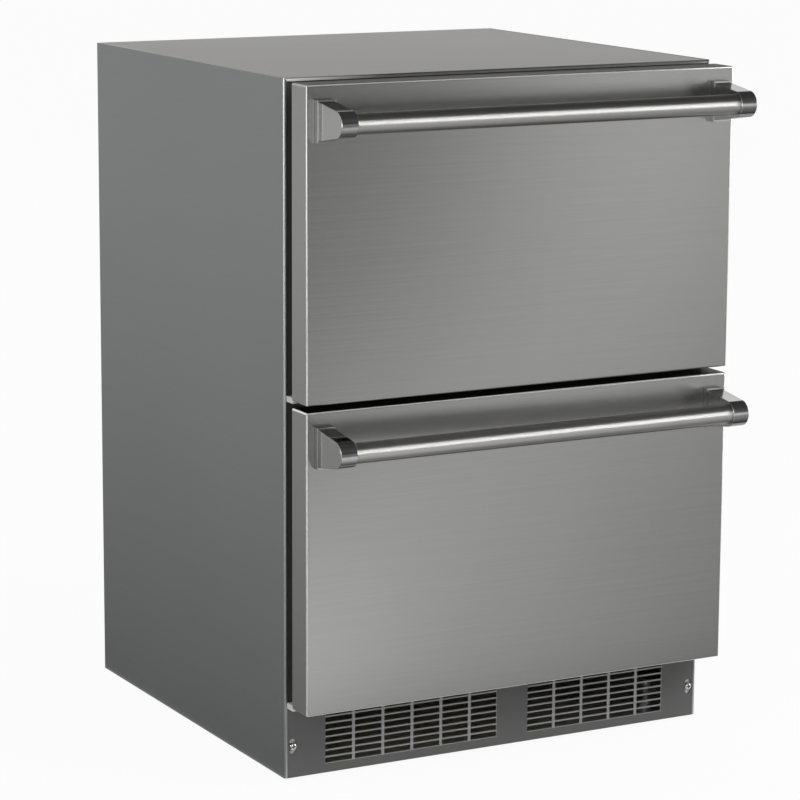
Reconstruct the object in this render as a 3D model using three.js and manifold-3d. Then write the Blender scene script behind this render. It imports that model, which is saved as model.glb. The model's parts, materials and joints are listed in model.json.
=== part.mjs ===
// Undercounter refrigerator with two stacked drawers.
//
// Millimetres, +Z up, fronts towards -Y. Inside this file y = 0 is the front plane of the cabinet's
// folded edges, x = 0 its middle and z = 0 the floor. The exported group moves the whole so that its
// origin is the middle of the footprint on the floor.

import * as THREE from 'three';
import { mergeVertices } from 'three/addons/utils/BufferGeometryUtils.js';
import Module from 'manifold-3d';

const wasm = await Module();
wasm.setup();

// ---------------------------------------------------------------- driving dimensions

// Cabinet shell
const CABINET_WIDTH = 606;
const CABINET_DEPTH = 563.5;
const CABINET_HEIGHT = 867;
const FOOT_SHOWS = 5;            // height of the feet below the shell when screwed right in
const SHEET = 1.5;               // panel steel
const BEND_RADIUS = 2.5;         // outside radius of a folded edge
const HEM_WIDTH = 4;             // folded front edge of the sides and the top
const REAR_RETURN = 12;          // folded rear edge of the sides and the top
const TOP_SEAM = 0.8;            // open seam between the top and the sides
const SEAT = 0.3;                // clearance between neighbouring pieces
const CIRCLE_STEPS = 24;

// Drawer fronts
const SIDE_REVEAL = 2;           // cabinet side to a front's side
const FRONT_THICKNESS = 38.6;
const GASKET_GAP = 18;           // closed gap between a front and the cabinet
const TOP_REVEAL = 3.5;          // cabinet top down to the upper front
const TOE_HEIGHT = 93.5;         // shell's lower edge up to the lower front
const LOWER_FRONT_HEIGHT = 377.8;
const FRONT_GAP = 7.7;           // between the two fronts
const FRONT_CORNER = 3;          // corner radius of a front, seen from the front
const PANEL_INSET = 3;           // inner panel's back plate in from the front's edges
const PANEL_PROUD = 6;           // back plate behind the steel skin
const PLATEAU_PROUD = 10;        // raised middle of the inner panel, which carries the tub
const STOP_WIDTH = 11;           // corner stops at a front's lower edge
const STOP_HEIGHT = 7;
const STOP_DROP = 2.8;           // stops reach below the front's lower edge
const STOP_CLEARANCE = 0.6;
const GASKET_INSET = 13;
const GASKET_WIDTH = 14;
const GASKET_NECK = 3;           // how far the bellows draw in on each side
const GASKET_LAND = 2;           // gasket's inner edge to the window behind it

// Handles
const BAR_RADIUS = 12.7;
const BAR_STANDOFF = 53.4;       // front face to the bar's axis
const BAR_DROP = 42.1;           // front's top edge to the bar's axis
const NOSE_RADIUS = 16.4;
const BRACKET_INSET = 10.2;      // front's side to the bracket's foot
const BRACKET_WIDTH = 22.5;
const BRACKET_UP = 24;           // bar's axis to the top of the bracket's foot
const BRACKET_DOWN = 25.5;
const BRACKET_FOOT = 9;          // thickness of the foot on the front
const FOOT_PROUD = 0.8;          // foot wider than the arm on each side
const SOCKET_DEPTH = 4;          // how far the bar enters a bracket

// Insulated body
const FLOOR_FOAM = 31;
const REAR_FOAM = 40;
const LINER = 1.5;
const MACHINE_DEPTH = 195;       // machine compartment at the lower back
const MACHINE_HEADROOM = 25.2;   // above the highest pipe
const STEP_FOAM = 31;
const MULLION_DEPTH = 26;

// Drawer tubs and runners
const TUB_WALL = 2;
const TUB_CLEARANCE = 6;         // window's lower edge to the tub
const TUB_UNDER_CONTROLS = 8;    // control housing down to the upper tub's rim
const TUB_UNDER_MULLION = 22.1;  // mullion down to the lower tub's rim
const TUB_BACK_GAP = 13;         // tub's rim to what lies behind it
const TUB_RIM = 5;
const RUNNER_THICKNESS = 13;
const RUNNER_HEIGHT = 45;
const RUNNER_STEEL = 1.5;
const RUNNER_PLAY = 0.5;
const RUNNER_RISE = 62;          // tub's floor to the runner's middle
const RUNNER_START = 10;

// Toe grille
const SLOT_WIDTH = 37.6;
const SLOT_HEIGHT = 6.5;
const SLOT_PITCH_X = 41.6;
const SLOT_PITCH_Z = 8.7;
const SLOT_LIFT = 12.4;          // shell's lower edge to the first slot
const SLOT_TOP_MARGIN = 8;       // plain strip above the slots, at least
const SLOT_SIDE_MARGIN = 50;     // plain strip beside the slots, at least
const POST_X = 22.4;             // middle of the plain post between the two fields of slots
const POST_WIDTH = 46;
const SCREW_INSET = 11.5;        // cabinet side to the screw
const SCREW_LIFT = 40;
const SCREW_SLOT_WIDTH = 8.6;
const SCREW_SLOT_HEIGHT = 20;
const SCREW_HEAD_RADIUS = 4.8;
const SCREW_HEAD_HEIGHT = 2.6;
const SCREW_SHANK_RADIUS = 2.1;
const SCREW_LENGTH = 12;
const GRILLE_RETURN = 10;

// Levelling legs
const LEG_SIDE_INSET = 48;       // from the cabinet's side
const LEG_INSET = 45;            // from the front plane and from the back
const FOOT_RADIUS = 19;
const STUD_RADIUS = 5;
const STUD_LENGTH = 42;
const BOSS_RADIUS = 9;
const BOSS_HEIGHT = 14;
const PAN_FLANGE = 18;
const TAB_WIDTH = 17;
const TAB_ABOVE_SCREW = 20;

// Controls and light
const CONTROL_WIDTH = 180;
const CONTROL_DEPTH = 60;
const CONTROL_HEIGHT = 36;
const CONTROL_START = 14;
const CONTROL_SLOPE = 14;        // how far the lower rear corner is cut back
const LENS_WIDTH = 46;
const LENS_HEIGHT = 16;
const LENS_THICKNESS = 1.6;
const BUTTON_RADIUS = 6;
const BUTTON_LENGTH = 11;
const BUTTON_PROUD = 2;
const BUTTON_TRAVEL = 1;
const BUTTON_PITCH = 18;
const LIGHT_WIDTH = 400;
const LIGHT_DEPTH = 16;
const LIGHT_HEIGHT = 6;
const LIGHT_START = 92;

// Evaporator
const COVER_WIDTH = 380;
const COVER_DROP = 119.5;        // compartment's ceiling to the cover's top
const COVER_DEPTH = 42;
const COVER_WALL = 2;
const EVAP_WIDTH = 320;
const EVAP_HEIGHT = 130;
const EVAP_DEPTH = 30;
const EVAP_LIFT = 36;            // above the compartment's step
const EVAP_FINS = 11;
const EVAP_TUBES = 3;
const EVAP_FAN_DROP = 120;       // cover's top to the fan's axis
const EVAP_FAN_RADIUS = 43;
const EVAP_FAN_THICKNESS = 12;
const EVAP_MOTOR_RADIUS = 19;
const EVAP_MOTOR_LENGTH = 16;
const EVAP_PLATE = 60;

// Condensing unit
const COMPRESSOR_INSET = 138;    // cabinet side to its middle
const COMPRESSOR_RADIUS = 68;
const COMPRESSOR_HEIGHT = 165;
const COMPRESSOR_FEET = 12;
const COMPRESSOR_PLATE = 3;
const RELAY_DEPTH = 28;
const RELAY_WIDTH = 50;
const RELAY_HEIGHT = 48;
const CONDENSER_DISTANCE = 225;  // compressor's middle to the condenser
const CONDENSER_THICKNESS = 40;
const CONDENSER_FINS = 12;
const CONDENSER_TUBES = 4;
const FIN_THICKNESS = 1;
const END_PLATE = 2;
const SHROUD_DEPTH = 30;
const SHROUD_RIM = 10;           // least width around the fan's duct
const FAN_GAP = 4;               // blade tips to the duct
const FAN_RADIUS = 66;
const FAN_THICKNESS = 16;
const MOTOR_RADIUS = 24;
const MOTOR_LENGTH = 34;
const SHAFT_RADIUS = 2.5;
const TRAY_GAP = 20;             // condenser to the tray
const TRAY_LEG_DISTANCE = 25;    // leg's middle to the tray
const TRAY_LENGTH = 150;
const TRAY_HEIGHT = 30;
const DRIER_RADIUS = 10;
const DRIER_LENGTH = 100;
const PIPE_RADIUS = 4;
const PIPE_BEND = 14;
const SUCTION_INSET = 30;        // evaporator's side to the suction pipe
const PIPE_RISE = 24;            // pipes above the compressor's top
const GLAND_INSET = 35;          // cabinet side to the bush
const GLAND_Z = 60;
const GLAND_RADIUS = 10;
const LOUVRE_ROWS = 9;
const LOUVRE_COLUMNS = 2;
const LOUVRE_WIDTH = 150;
const LOUVRE_HEIGHT = 5;
const LOUVRE_PITCH = 16;
const LOUVRE_Z = 60;
const LOUVRE_GAP = 30;

// ---------------------------------------------------------------- places worked out from them

const halfWidth = CABINET_WIDTH / 2;
const shellBottom = FOOT_SHOWS;
const shellTop = FOOT_SHOWS + CABINET_HEIGHT;
const innerX = halfWidth - SHEET - SEAT;              // pieces that lie between the side panels
const frontFace = -(GASKET_GAP + FRONT_THICKNESS);    // outer face of both drawer fronts
const frontBack = -GASKET_GAP;
const frameFront = SHEET + SEAT;
const frameBack = frameFront + SHEET;
const bodyFront = frameBack + SEAT;
const rearBack = CABINET_DEPTH - SHEET - SEAT;
const rearFront = rearBack - SHEET;
const foamTop = shellTop - SHEET - SEAT;

const frontHalf = halfWidth - SIDE_REVEAL;
const lowerFrontBottom = shellBottom + TOE_HEIGHT;
const lowerFrontTop = lowerFrontBottom + LOWER_FRONT_HEIGHT;
const upperFrontBottom = lowerFrontTop + FRONT_GAP;
const upperFrontTop = shellTop - TOP_REVEAL;
const windowInset = GASKET_INSET + GASKET_WIDTH + GASKET_LAND;

const cavityX = frontHalf - windowInset;
const cavityBottom = lowerFrontBottom + windowInset;
const mullionBottom = lowerFrontTop - windowInset;
const mullionTop = upperFrontBottom + windowInset;
const cavityTop = upperFrontTop - windowInset;
const cavityBack = rearFront - REAR_FOAM;
const coverFront = cavityBack - SEAT - COVER_DEPTH;
const foamBottom = cavityBottom - FLOOR_FOAM;

// machine compartment, from the pan up to a ceiling above the highest pipe
const panTop = shellBottom + SHEET;
const standing = panTop + SEAT;
const compressorBottom = standing + COMPRESSOR_FEET + COMPRESSOR_PLATE;
const compressorTop = compressorBottom + COMPRESSOR_HEIGHT;
const pipeZ = compressorTop + PIPE_RISE;
const machineTop = pipeZ + PIPE_RADIUS + MACHINE_HEADROOM;
const machineFront = rearFront - MACHINE_DEPTH;
const machineMiddle = rearFront - MACHINE_DEPTH / 2;
const stepBack = machineFront - STEP_FOAM;
const stepTop = machineTop + STEP_FOAM;

const plateauBack = frontBack + PANEL_PROUD + PLATEAU_PROUD;
const gasketFront = frontBack + PANEL_PROUD + SEAT;
const gasketBack = frameFront - SEAT;

const controlTop = cavityTop - SEAT;
const controlBottom = controlTop - CONTROL_HEIGHT;

const drawers = {
  upper: {
    bottom: upperFrontBottom,
    top: upperFrontTop,
    rim: controlBottom - TUB_UNDER_CONTROLS,
    back: coverFront - TUB_BACK_GAP - TUB_RIM,
  },
  lower: {
    bottom: lowerFrontBottom,
    top: lowerFrontTop,
    rim: mullionBottom - TUB_UNDER_MULLION,
    back: stepBack - TUB_BACK_GAP - TUB_RIM,
  },
};

// ---------------------------------------------------------------- solids and booleans

function asSolid(geometry) {
  const plain = geometry.clone();
  plain.deleteAttribute('normal');
  plain.deleteAttribute('uv');
  const merged = mergeVertices(plain, 1e-4);
  return new wasm.Manifold(new wasm.Mesh({
    numProp: 3,
    vertProperties: new Float32Array(merged.attributes.position.array),
    triVerts: new Uint32Array(merged.index.array),
  }));
}

function asGeometry(solid) {
  const mesh = solid.getMesh();
  const geometry = new THREE.BufferGeometry();
  geometry.setAttribute('position', new THREE.BufferAttribute(new Float32Array(mesh.vertProperties), 3));
  geometry.setIndex(new THREE.BufferAttribute(new Uint32Array(mesh.triVerts), 1));
  return geometry;
}

function join(...geometries) {
  return asGeometry(geometries.map(asSolid).reduce((all, next) => all.add(next)));
}

function cut(geometry, ...tools) {
  return asGeometry(tools.map(asSolid).reduce((left, tool) => left.subtract(tool), asSolid(geometry)));
}

function common(...geometries) {
  return asGeometry(geometries.map(asSolid).reduce((left, next) => left.intersect(next)));
}

// Box between two corners given as ranges along x, y and z.
function block([x0, x1], [y0, y1], [z0, z1]) {
  const box = new THREE.BoxGeometry(x1 - x0, y1 - y0, z1 - z0);
  return box.translate((x0 + x1) / 2, (y0 + y1) / 2, (z0 + z1) / 2);
}

function outline(points) {
  return new THREE.Shape(points.map(([u, v]) => new THREE.Vector2(u, v)));
}

function extruded(shape, depth) {
  return new THREE.ExtrudeGeometry(shape, { depth, bevelEnabled: false, curveSegments: 6 });
}

// Prisms: a section seen along one axis, run between two places on that axis.
function prismX(shape, x0, x1) {
  const turned = new THREE.Matrix4().makeBasis(
    new THREE.Vector3(0, 1, 0), new THREE.Vector3(0, 0, 1), new THREE.Vector3(1, 0, 0));
  return extruded(shape, x1 - x0).applyMatrix4(turned).translate(x0, 0, 0);
}

function prismY(shape, y0, y1) {
  const turned = new THREE.Matrix4().makeBasis(
    new THREE.Vector3(1, 0, 0), new THREE.Vector3(0, 0, 1), new THREE.Vector3(0, -1, 0));
  return extruded(shape, y1 - y0).applyMatrix4(turned).translate(0, y1, 0);
}

function prismZ(shape, z0, z1) {
  return extruded(shape, z1 - z0).translate(0, 0, z0);
}

// Round bars along an axis, from start to end, at the two other coordinates.
function rodX(radius, x0, x1, y, z, steps = CIRCLE_STEPS) {
  const rod = new THREE.CylinderGeometry(radius, radius, x1 - x0, steps);
  return rod.rotateZ(Math.PI / 2).translate((x0 + x1) / 2, y, z);
}

function rodY(radius, y0, y1, x, z, steps = CIRCLE_STEPS) {
  const rod = new THREE.CylinderGeometry(radius, radius, y1 - y0, steps);
  return rod.translate(x, (y0 + y1) / 2, z);
}

function rodZ(radius, z0, z1, x, y, steps = CIRCLE_STEPS) {
  const rod = new THREE.CylinderGeometry(radius, radius, z1 - z0, steps);
  return rod.rotateX(Math.PI / 2).translate(x, y, (z0 + z1) / 2);
}

// Solid of revolution about the vertical axis through (x, y), from [radius, height] points.
function turnedZ(profile, x, y, steps = CIRCLE_STEPS) {
  const points = profile.map(([r, z]) => new THREE.Vector2(r, z));
  return new THREE.LatheGeometry(points, steps).rotateX(Math.PI / 2).translate(x, y, 0);
}

// Radius whose polygon clears a round bar of the given radius by the seat all round.
function boreFor(radius, steps = CIRCLE_STEPS) {
  return (radius + SEAT) / Math.cos(Math.PI / steps);
}

function roundedRect([u0, u1], [v0, v1], radius) {
  const shape = new THREE.Shape();
  shape.moveTo(u0 + radius, v0);
  shape.lineTo(u1 - radius, v0);
  shape.absarc(u1 - radius, v0 + radius, radius, -Math.PI / 2, 0, false);
  shape.lineTo(u1, v1 - radius);
  shape.absarc(u1 - radius, v1 - radius, radius, 0, Math.PI / 2, false);
  shape.lineTo(u0 + radius, v1);
  shape.absarc(u0 + radius, v1 - radius, radius, Math.PI / 2, Math.PI, false);
  shape.lineTo(u0, v0 + radius);
  shape.absarc(u0 + radius, v0 + radius, radius, Math.PI, 1.5 * Math.PI, false);
  return shape;
}

// Pipe through corner points, each corner rounded.
function pipe(corners, radius, bend, sides = 8) {
  const points = corners.map((corner) => new THREE.Vector3(...corner));
  const path = new THREE.CurvePath();
  let from = points[0];
  for (let i = 1; i < points.length - 1; i += 1) {
    const corner = points[i];
    const towards = (other) => corner.clone().addScaledVector(other.clone().sub(corner).normalize(), bend);
    const before = towards(points[i - 1]);
    const after = towards(points[i + 1]);
    path.add(new THREE.LineCurve3(from, before));
    path.add(new THREE.QuadraticBezierCurve3(before, corner, after));
    from = after;
  }
  path.add(new THREE.LineCurve3(from, points[points.length - 1]));
  const section = new THREE.Shape();
  for (let i = 0; i < sides; i += 1) {
    const angle = (2 * Math.PI * i) / sides;
    const place = [radius * Math.cos(angle), radius * Math.sin(angle)];
    if (i === 0) section.moveTo(...place);
    else section.lineTo(...place);
  }
  const steps = 12 * (corners.length - 1);
  return new THREE.ExtrudeGeometry(section, { steps, extrudePath: path, bevelEnabled: false });
}

// Rectangular ring seen from the front: outer rectangle less its inset by the ring's width.
function ringXZ(halfX, z0, z1, width, y0, y1) {
  const outer = block([-halfX, halfX], [y0, y1], [z0, z1]);
  const inner = block([-halfX + width, halfX - width], [y0 - 1, y1 + 1], [z0 + width, z1 - width]);
  return cut(outer, inner);
}

// ---------------------------------------------------------------- materials

function finish(color, roughness, metalness) {
  return new THREE.MeshStandardMaterial({ color, roughness, metalness });
}

const finishes = {
  steel: finish(0x9a9a98, 0.38, 0.9),
  shell: finish(0x7c7d7d, 0.45, 0.8),
  polished: finish(0xc4c4c2, 0.14, 1.0),
  grille: finish(0x5a5a5a, 0.5, 0.7),
  screw: finish(0xb4b4b0, 0.3, 1.0),
  gasket: finish(0x2b2b2a, 0.8, 0),
  panel: finish(0xc9c9c5, 0.45, 0),
  liner: finish(0xdededa, 0.4, 0),
  foam: finish(0xe6d9a4, 0.95, 0),
  zinc: finish(0xa7a9ab, 0.45, 0.9),
  frame: finish(0x3c3d3d, 0.5, 0.4),
  tub: finish(0xb6b7b6, 0.42, 0.7),
  black: finish(0x1d1d1e, 0.5, 0),
  dark: finish(0x0f1011, 0.45, 0.1),
  lens: finish(0x141a1e, 0.1, 0),
  button: finish(0xd8d8d4, 0.4, 0),
  light: finish(0xf2f2ec, 0.3, 0),
  fins: finish(0xb9bcbe, 0.4, 0.9),
  copper: finish(0xb56a3c, 0.35, 1.0),
  tray: finish(0x2c2f33, 0.6, 0),
};

const refrigerator = new THREE.Group();

function addPiece(name, geometry, material) {
  const mesh = new THREE.Mesh(geometry, material);
  mesh.name = name;
  refrigerator.add(mesh);
}

// ---------------------------------------------------------------- cabinet shell

// Height of the corner mitre at x on the left, moved up by part of the seam.
function mitreHeight(x, gap) {
  return shellTop - SHEET + gap - (x + halfWidth - SHEET);
}

// Side panel: a sheet with a narrow folded edge at the front and a wider one at the back.
function sidePanel(side) {
  const section = new THREE.Shape();
  section.moveTo(-halfWidth, CABINET_DEPTH);
  section.lineTo(-halfWidth, BEND_RADIUS);
  section.absarc(-halfWidth + BEND_RADIUS, BEND_RADIUS, BEND_RADIUS, Math.PI, 1.5 * Math.PI, false);
  section.lineTo(-halfWidth + HEM_WIDTH, 0);
  section.lineTo(-halfWidth + HEM_WIDTH, SHEET);
  section.lineTo(-halfWidth + SHEET, SHEET);
  section.lineTo(-halfWidth + SHEET, CABINET_DEPTH - SHEET);
  section.lineTo(-halfWidth + REAR_RETURN, CABINET_DEPTH - SHEET);
  section.lineTo(-halfWidth + REAR_RETURN, CABINET_DEPTH);
  const panel = prismZ(section, shellBottom, shellTop);
  // the folded front edge ends in a mitre under the top panel's folded edge
  const reach = -halfWidth + HEM_WIDTH + 1;
  const mitre = prismY(outline([
    [-halfWidth + SHEET, shellTop + 1],
    [-halfWidth + SHEET, mitreHeight(-halfWidth + SHEET, -TOP_SEAM)],
    [reach, mitreHeight(reach, -TOP_SEAM)],
    [reach, shellTop + 1],
  ]), -1, BEND_RADIUS + SHEET);
  const rearNotch = block(
    [-halfWidth + SHEET, -halfWidth + REAR_RETURN + 1],
    [CABINET_DEPTH - SHEET - SEAT, CABINET_DEPTH + 1],
    [shellTop - REAR_RETURN - SEAT, shellTop + 1]);
  const left = cut(panel, mitre, rearNotch);
  return side < 0 ? left : mirrored(left);
}

// Mirror image in the plane x = 0, with its faces turned back outwards.
function mirrored(geometry) {
  const copy = geometry.clone().scale(-1, 1, 1);
  const index = copy.index.array;
  for (let i = 0; i < index.length; i += 3) {
    [index[i], index[i + 1]] = [index[i + 1], index[i]];
  }
  return copy;
}

function topPanel() {
  const x = halfWidth - SHEET - TOP_SEAM;
  const section = new THREE.Shape();
  section.moveTo(CABINET_DEPTH, shellTop);
  section.lineTo(BEND_RADIUS, shellTop);
  section.absarc(BEND_RADIUS, shellTop - BEND_RADIUS, BEND_RADIUS, Math.PI / 2, Math.PI, false);
  section.lineTo(0, shellTop - HEM_WIDTH);
  section.lineTo(SHEET, shellTop - HEM_WIDTH);
  section.lineTo(SHEET, shellTop - SHEET);
  section.lineTo(CABINET_DEPTH - SHEET, shellTop - SHEET);
  section.lineTo(CABINET_DEPTH - SHEET, shellTop - REAR_RETURN);
  section.lineTo(CABINET_DEPTH, shellTop - REAR_RETURN);
  const panel = prismX(section, -x, x);
  const roundedSides = prismY(
    roundedRect([-x, x], [0, shellTop], BEND_RADIUS), -1, CABINET_DEPTH + 1);
  const far = -halfWidth - 1;
  const near = -halfWidth + HEM_WIDTH + 2;
  const mitre = asGeometry(asSolid(prismY(outline([
    [far, mitreHeight(far, TOP_SEAM)],
    [far, mitreHeight(near, TOP_SEAM)],
    [near, mitreHeight(near, TOP_SEAM)],
  ]), -1, BEND_RADIUS + SHEET)));
  return cut(common(panel, roundedSides), mitre, mirrored(mitre));
}

function rearPanel() {
  const sheet = block([-innerX, innerX], [rearFront, rearBack], [shellBottom, foamTop]);
  const glandX = halfWidth - GLAND_INSET;
  const tools = [rodY(boreFor(GLAND_RADIUS), rearFront - 1, rearBack + 1, glandX, GLAND_Z)];
  const span = LOUVRE_COLUMNS * LOUVRE_WIDTH + (LOUVRE_COLUMNS - 1) * LOUVRE_GAP;
  for (let column = 0; column < LOUVRE_COLUMNS; column += 1) {
    for (let row = 0; row < LOUVRE_ROWS; row += 1) {
      const x = -span / 2 + column * (LOUVRE_WIDTH + LOUVRE_GAP);
      const z = LOUVRE_Z + row * LOUVRE_PITCH;
      tools.push(block([x, x + LOUVRE_WIDTH], [rearFront - 1, rearBack + 1], [z, z + LOUVRE_HEIGHT]));
    }
  }
  return cut(sheet, ...tools);
}

const legX = halfWidth - LEG_SIDE_INSET;
const screwX = halfWidth - SCREW_INSET;
const legPlaces = [
  ['front_left', -legX, LEG_INSET],
  ['front_right', legX, LEG_INSET],
  ['rear_left', -legX, CABINET_DEPTH - LEG_INSET],
  ['rear_right', legX, CABINET_DEPTH - LEG_INSET],
];

function basePan() {
  const front = SHEET + SEAT;
  const back = rearFront - SEAT;
  let pan = block([-innerX, innerX], [front, back], [shellBottom, panTop]);
  for (const side of [-1, 1]) {
    const flange = [side * innerX, side * (innerX - SHEET)].sort((a, b) => a - b);
    const tab = [side * innerX, side * (innerX - TAB_WIDTH)].sort((a, b) => a - b);
    pan = join(
      pan,
      block(flange, [front, back], [shellBottom, shellBottom + PAN_FLANGE]),
      block(tab, [front, front + SHEET], [shellBottom, shellBottom + SCREW_LIFT + TAB_ABOVE_SCREW]));
  }
  for (const [, x, y] of legPlaces) {
    pan = join(pan, rodZ(BOSS_RADIUS, shellBottom, panTop + BOSS_HEIGHT, x, y, 16));
  }
  const holes = legPlaces.map(([, x, y]) => (
    rodZ(boreFor(STUD_RADIUS, 16), shellBottom - 1, panTop + BOSS_HEIGHT + 1, x, y, 16)));
  const screwHoles = [-1, 1].map((side) => (
    rodY(boreFor(SCREW_SHANK_RADIUS, 12), front - 1, front + SHEET + 1,
      side * screwX, shellBottom + SCREW_LIFT, 12)));
  return cut(pan, ...holes, ...screwHoles);
}

function levellingLeg(x, y) {
  const padTop = shellBottom - SEAT;
  return turnedZ([
    [0, 0],
    [FOOT_RADIUS - 1, 0],
    [FOOT_RADIUS, 1],
    [FOOT_RADIUS, padTop - 1],
    [FOOT_RADIUS - 2, padTop],
    [STUD_RADIUS, padTop],
    [STUD_RADIUS, padTop + STUD_LENGTH - 1],
    [STUD_RADIUS - 1, padTop + STUD_LENGTH],
    [0, padTop + STUD_LENGTH],
  ], x, y, 20);
}

// ---------------------------------------------------------------- toe grille

function toeGrille() {
  const x = halfWidth - HEM_WIDTH - SEAT;
  const top = foamBottom - SEAT;
  const sheet = join(
    block([-x, x], [0, SHEET], [shellBottom, top]),
    block([-x, x], [0, GRILLE_RETURN], [top - SHEET, top]));
  const tools = [];
  const rows = Math.floor((top - shellBottom - SLOT_LIFT - SLOT_TOP_MARGIN) / SLOT_PITCH_Z);
  for (const side of [-1, 1]) {
    const start = POST_X + (side * POST_WIDTH) / 2;
    const room = halfWidth - SLOT_SIDE_MARGIN - side * start;
    const columns = Math.floor((room + SLOT_PITCH_X - SLOT_WIDTH) / SLOT_PITCH_X);
    for (let column = 0; column < columns; column += 1) {
      const near = start + side * column * SLOT_PITCH_X;
      const across = [near, near + side * SLOT_WIDTH].sort((a, b) => a - b);
      for (let row = 0; row < rows; row += 1) {
        const low = shellBottom + SLOT_LIFT + row * SLOT_PITCH_Z;
        tools.push(block(across, [-1, SHEET + 1], [low, low + SLOT_HEIGHT]));
      }
    }
  }
  const screwZ = shellBottom + SCREW_LIFT;
  for (const side of [-1, 1]) {
    tools.push(prismY(roundedRect(
      [side * screwX - SCREW_SLOT_WIDTH / 2, side * screwX + SCREW_SLOT_WIDTH / 2],
      [screwZ - SCREW_SLOT_HEIGHT / 2, screwZ + SCREW_SLOT_HEIGHT / 2],
      SCREW_SLOT_WIDTH / 2 - 0.01), -1, SHEET + 1));
  }
  return cut(sheet, ...tools);
}

// Pan-head screw through the grille's slot into the tab behind it, with a cross recess.
function grilleScrew(side) {
  const z = shellBottom + SCREW_LIFT;
  const x = side * screwX;
  const head = new THREE.LatheGeometry([
    new THREE.Vector2(0, 0),
    new THREE.Vector2(SCREW_HEAD_RADIUS, 0),
    new THREE.Vector2(SCREW_HEAD_RADIUS, SCREW_HEAD_HEIGHT * 0.45),
    new THREE.Vector2(SCREW_HEAD_RADIUS * 0.72, SCREW_HEAD_HEIGHT * 0.88),
    new THREE.Vector2(0, SCREW_HEAD_HEIGHT),
  ], 16).rotateX(Math.PI).translate(x, -SEAT, z);
  const shank = rodY(SCREW_SHANK_RADIUS, -SEAT - 0.5, SCREW_LENGTH, x, z, 12);
  const arm = SCREW_HEAD_RADIUS * 0.55;
  const slot = SCREW_HEAD_RADIUS * 0.14;
  const depth = [-SEAT - SCREW_HEAD_HEIGHT - 1, -SEAT - SCREW_HEAD_HEIGHT * 0.4];
  const across = block([x - arm, x + arm], depth, [z - slot, z + slot]);
  const upright = block([x - slot, x + slot], depth, [z - arm, z + arm]);
  return cut(join(head, shank), across, upright);
}

// ---------------------------------------------------------------- insulated body

// Section of the cavity along y and z, with the step over the machine compartment, grown outwards.
function cavityOutline(grow, front) {
  return outline([
    [front, cavityBottom - grow],
    [stepBack + grow, cavityBottom - grow],
    [stepBack + grow, stepTop - grow],
    [cavityBack + grow, stepTop - grow],
    [cavityBack + grow, cavityTop + grow],
    [front, cavityTop + grow],
  ]);
}

const suctionX = EVAP_WIDTH / 2 - SUCTION_INSET;
const suctionY = cavityBack - SEAT - EVAP_DEPTH / 2;

function pipeHole() {
  return rodZ(boreFor(PIPE_RADIUS, 12) + SEAT, machineTop - 2, stepTop + 1, suctionX, suctionY, 12);
}

function foamBody() {
  const section = outline([
    [bodyFront, foamBottom],
    [machineFront, foamBottom],
    [machineFront, machineTop],
    [rearFront - SEAT, machineTop],
    [rearFront - SEAT, foamTop],
    [bodyFront, foamTop],
  ]);
  const grow = LINER + SEAT;
  const hollow = prismX(cavityOutline(grow, bodyFront - 1), -cavityX - grow, cavityX + grow);
  return cut(prismX(section, -innerX, innerX), hollow, pipeHole());
}

function innerLiner() {
  const outer = prismX(cavityOutline(LINER, bodyFront), -cavityX - LINER, cavityX + LINER);
  const inner = prismX(cavityOutline(0, bodyFront - 1), -cavityX, cavityX);
  return cut(outer, inner, pipeHole());
}

function faceFrame() {
  const plate = cut(
    block([-innerX, innerX], [frameFront, frameBack], [foamBottom, foamTop]),
    block([-cavityX, cavityX], [0, frameBack + 1], [cavityBottom, mullionBottom]),
    block([-cavityX, cavityX], [0, frameBack + 1], [mullionTop, cavityTop]));
  const rail = block(
    [-cavityX + SEAT, cavityX - SEAT],
    [frameFront, frameFront + MULLION_DEPTH],
    [mullionBottom, mullionTop]);
  return join(plate, rail);
}

// ---------------------------------------------------------------- drawer fronts and handles

// Block with the folded front edges rounded in plan, in side view and at the corners.
function frontBlank(drawer, inset) {
  const half = frontHalf - inset;
  const z0 = drawer.bottom + inset;
  const z1 = drawer.top - inset;
  const face = frontFace + inset;
  const bend = Math.max(BEND_RADIUS - inset, 0.5);
  const back = frontBack + inset;
  const plan = new THREE.Shape();
  plan.moveTo(-half, back);
  plan.lineTo(-half, face + bend);
  plan.absarc(-half + bend, face + bend, bend, Math.PI, 1.5 * Math.PI, false);
  plan.lineTo(half - bend, face);
  plan.absarc(half - bend, face + bend, bend, -Math.PI / 2, 0, false);
  plan.lineTo(half, back);
  const side = new THREE.Shape();
  side.moveTo(back, z1);
  side.lineTo(face + bend, z1);
  side.absarc(face + bend, z1 - bend, bend, Math.PI / 2, Math.PI, false);
  side.lineTo(face, z0 + bend);
  side.absarc(face + bend, z0 + bend, bend, Math.PI, 1.5 * Math.PI, false);
  side.lineTo(back, z0);
  const corner = Math.max(FRONT_CORNER - inset, 0.5);
  return common(
    prismZ(plan, z0, z1),
    prismX(side, -half, half),
    prismY(roundedRect([-half, half], [z0, z1], corner), face - 1, back + 1));
}

function frontSkin(drawer) {
  return cut(frontBlank(drawer, 0), frontBlank(drawer, SHEET));
}

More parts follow.
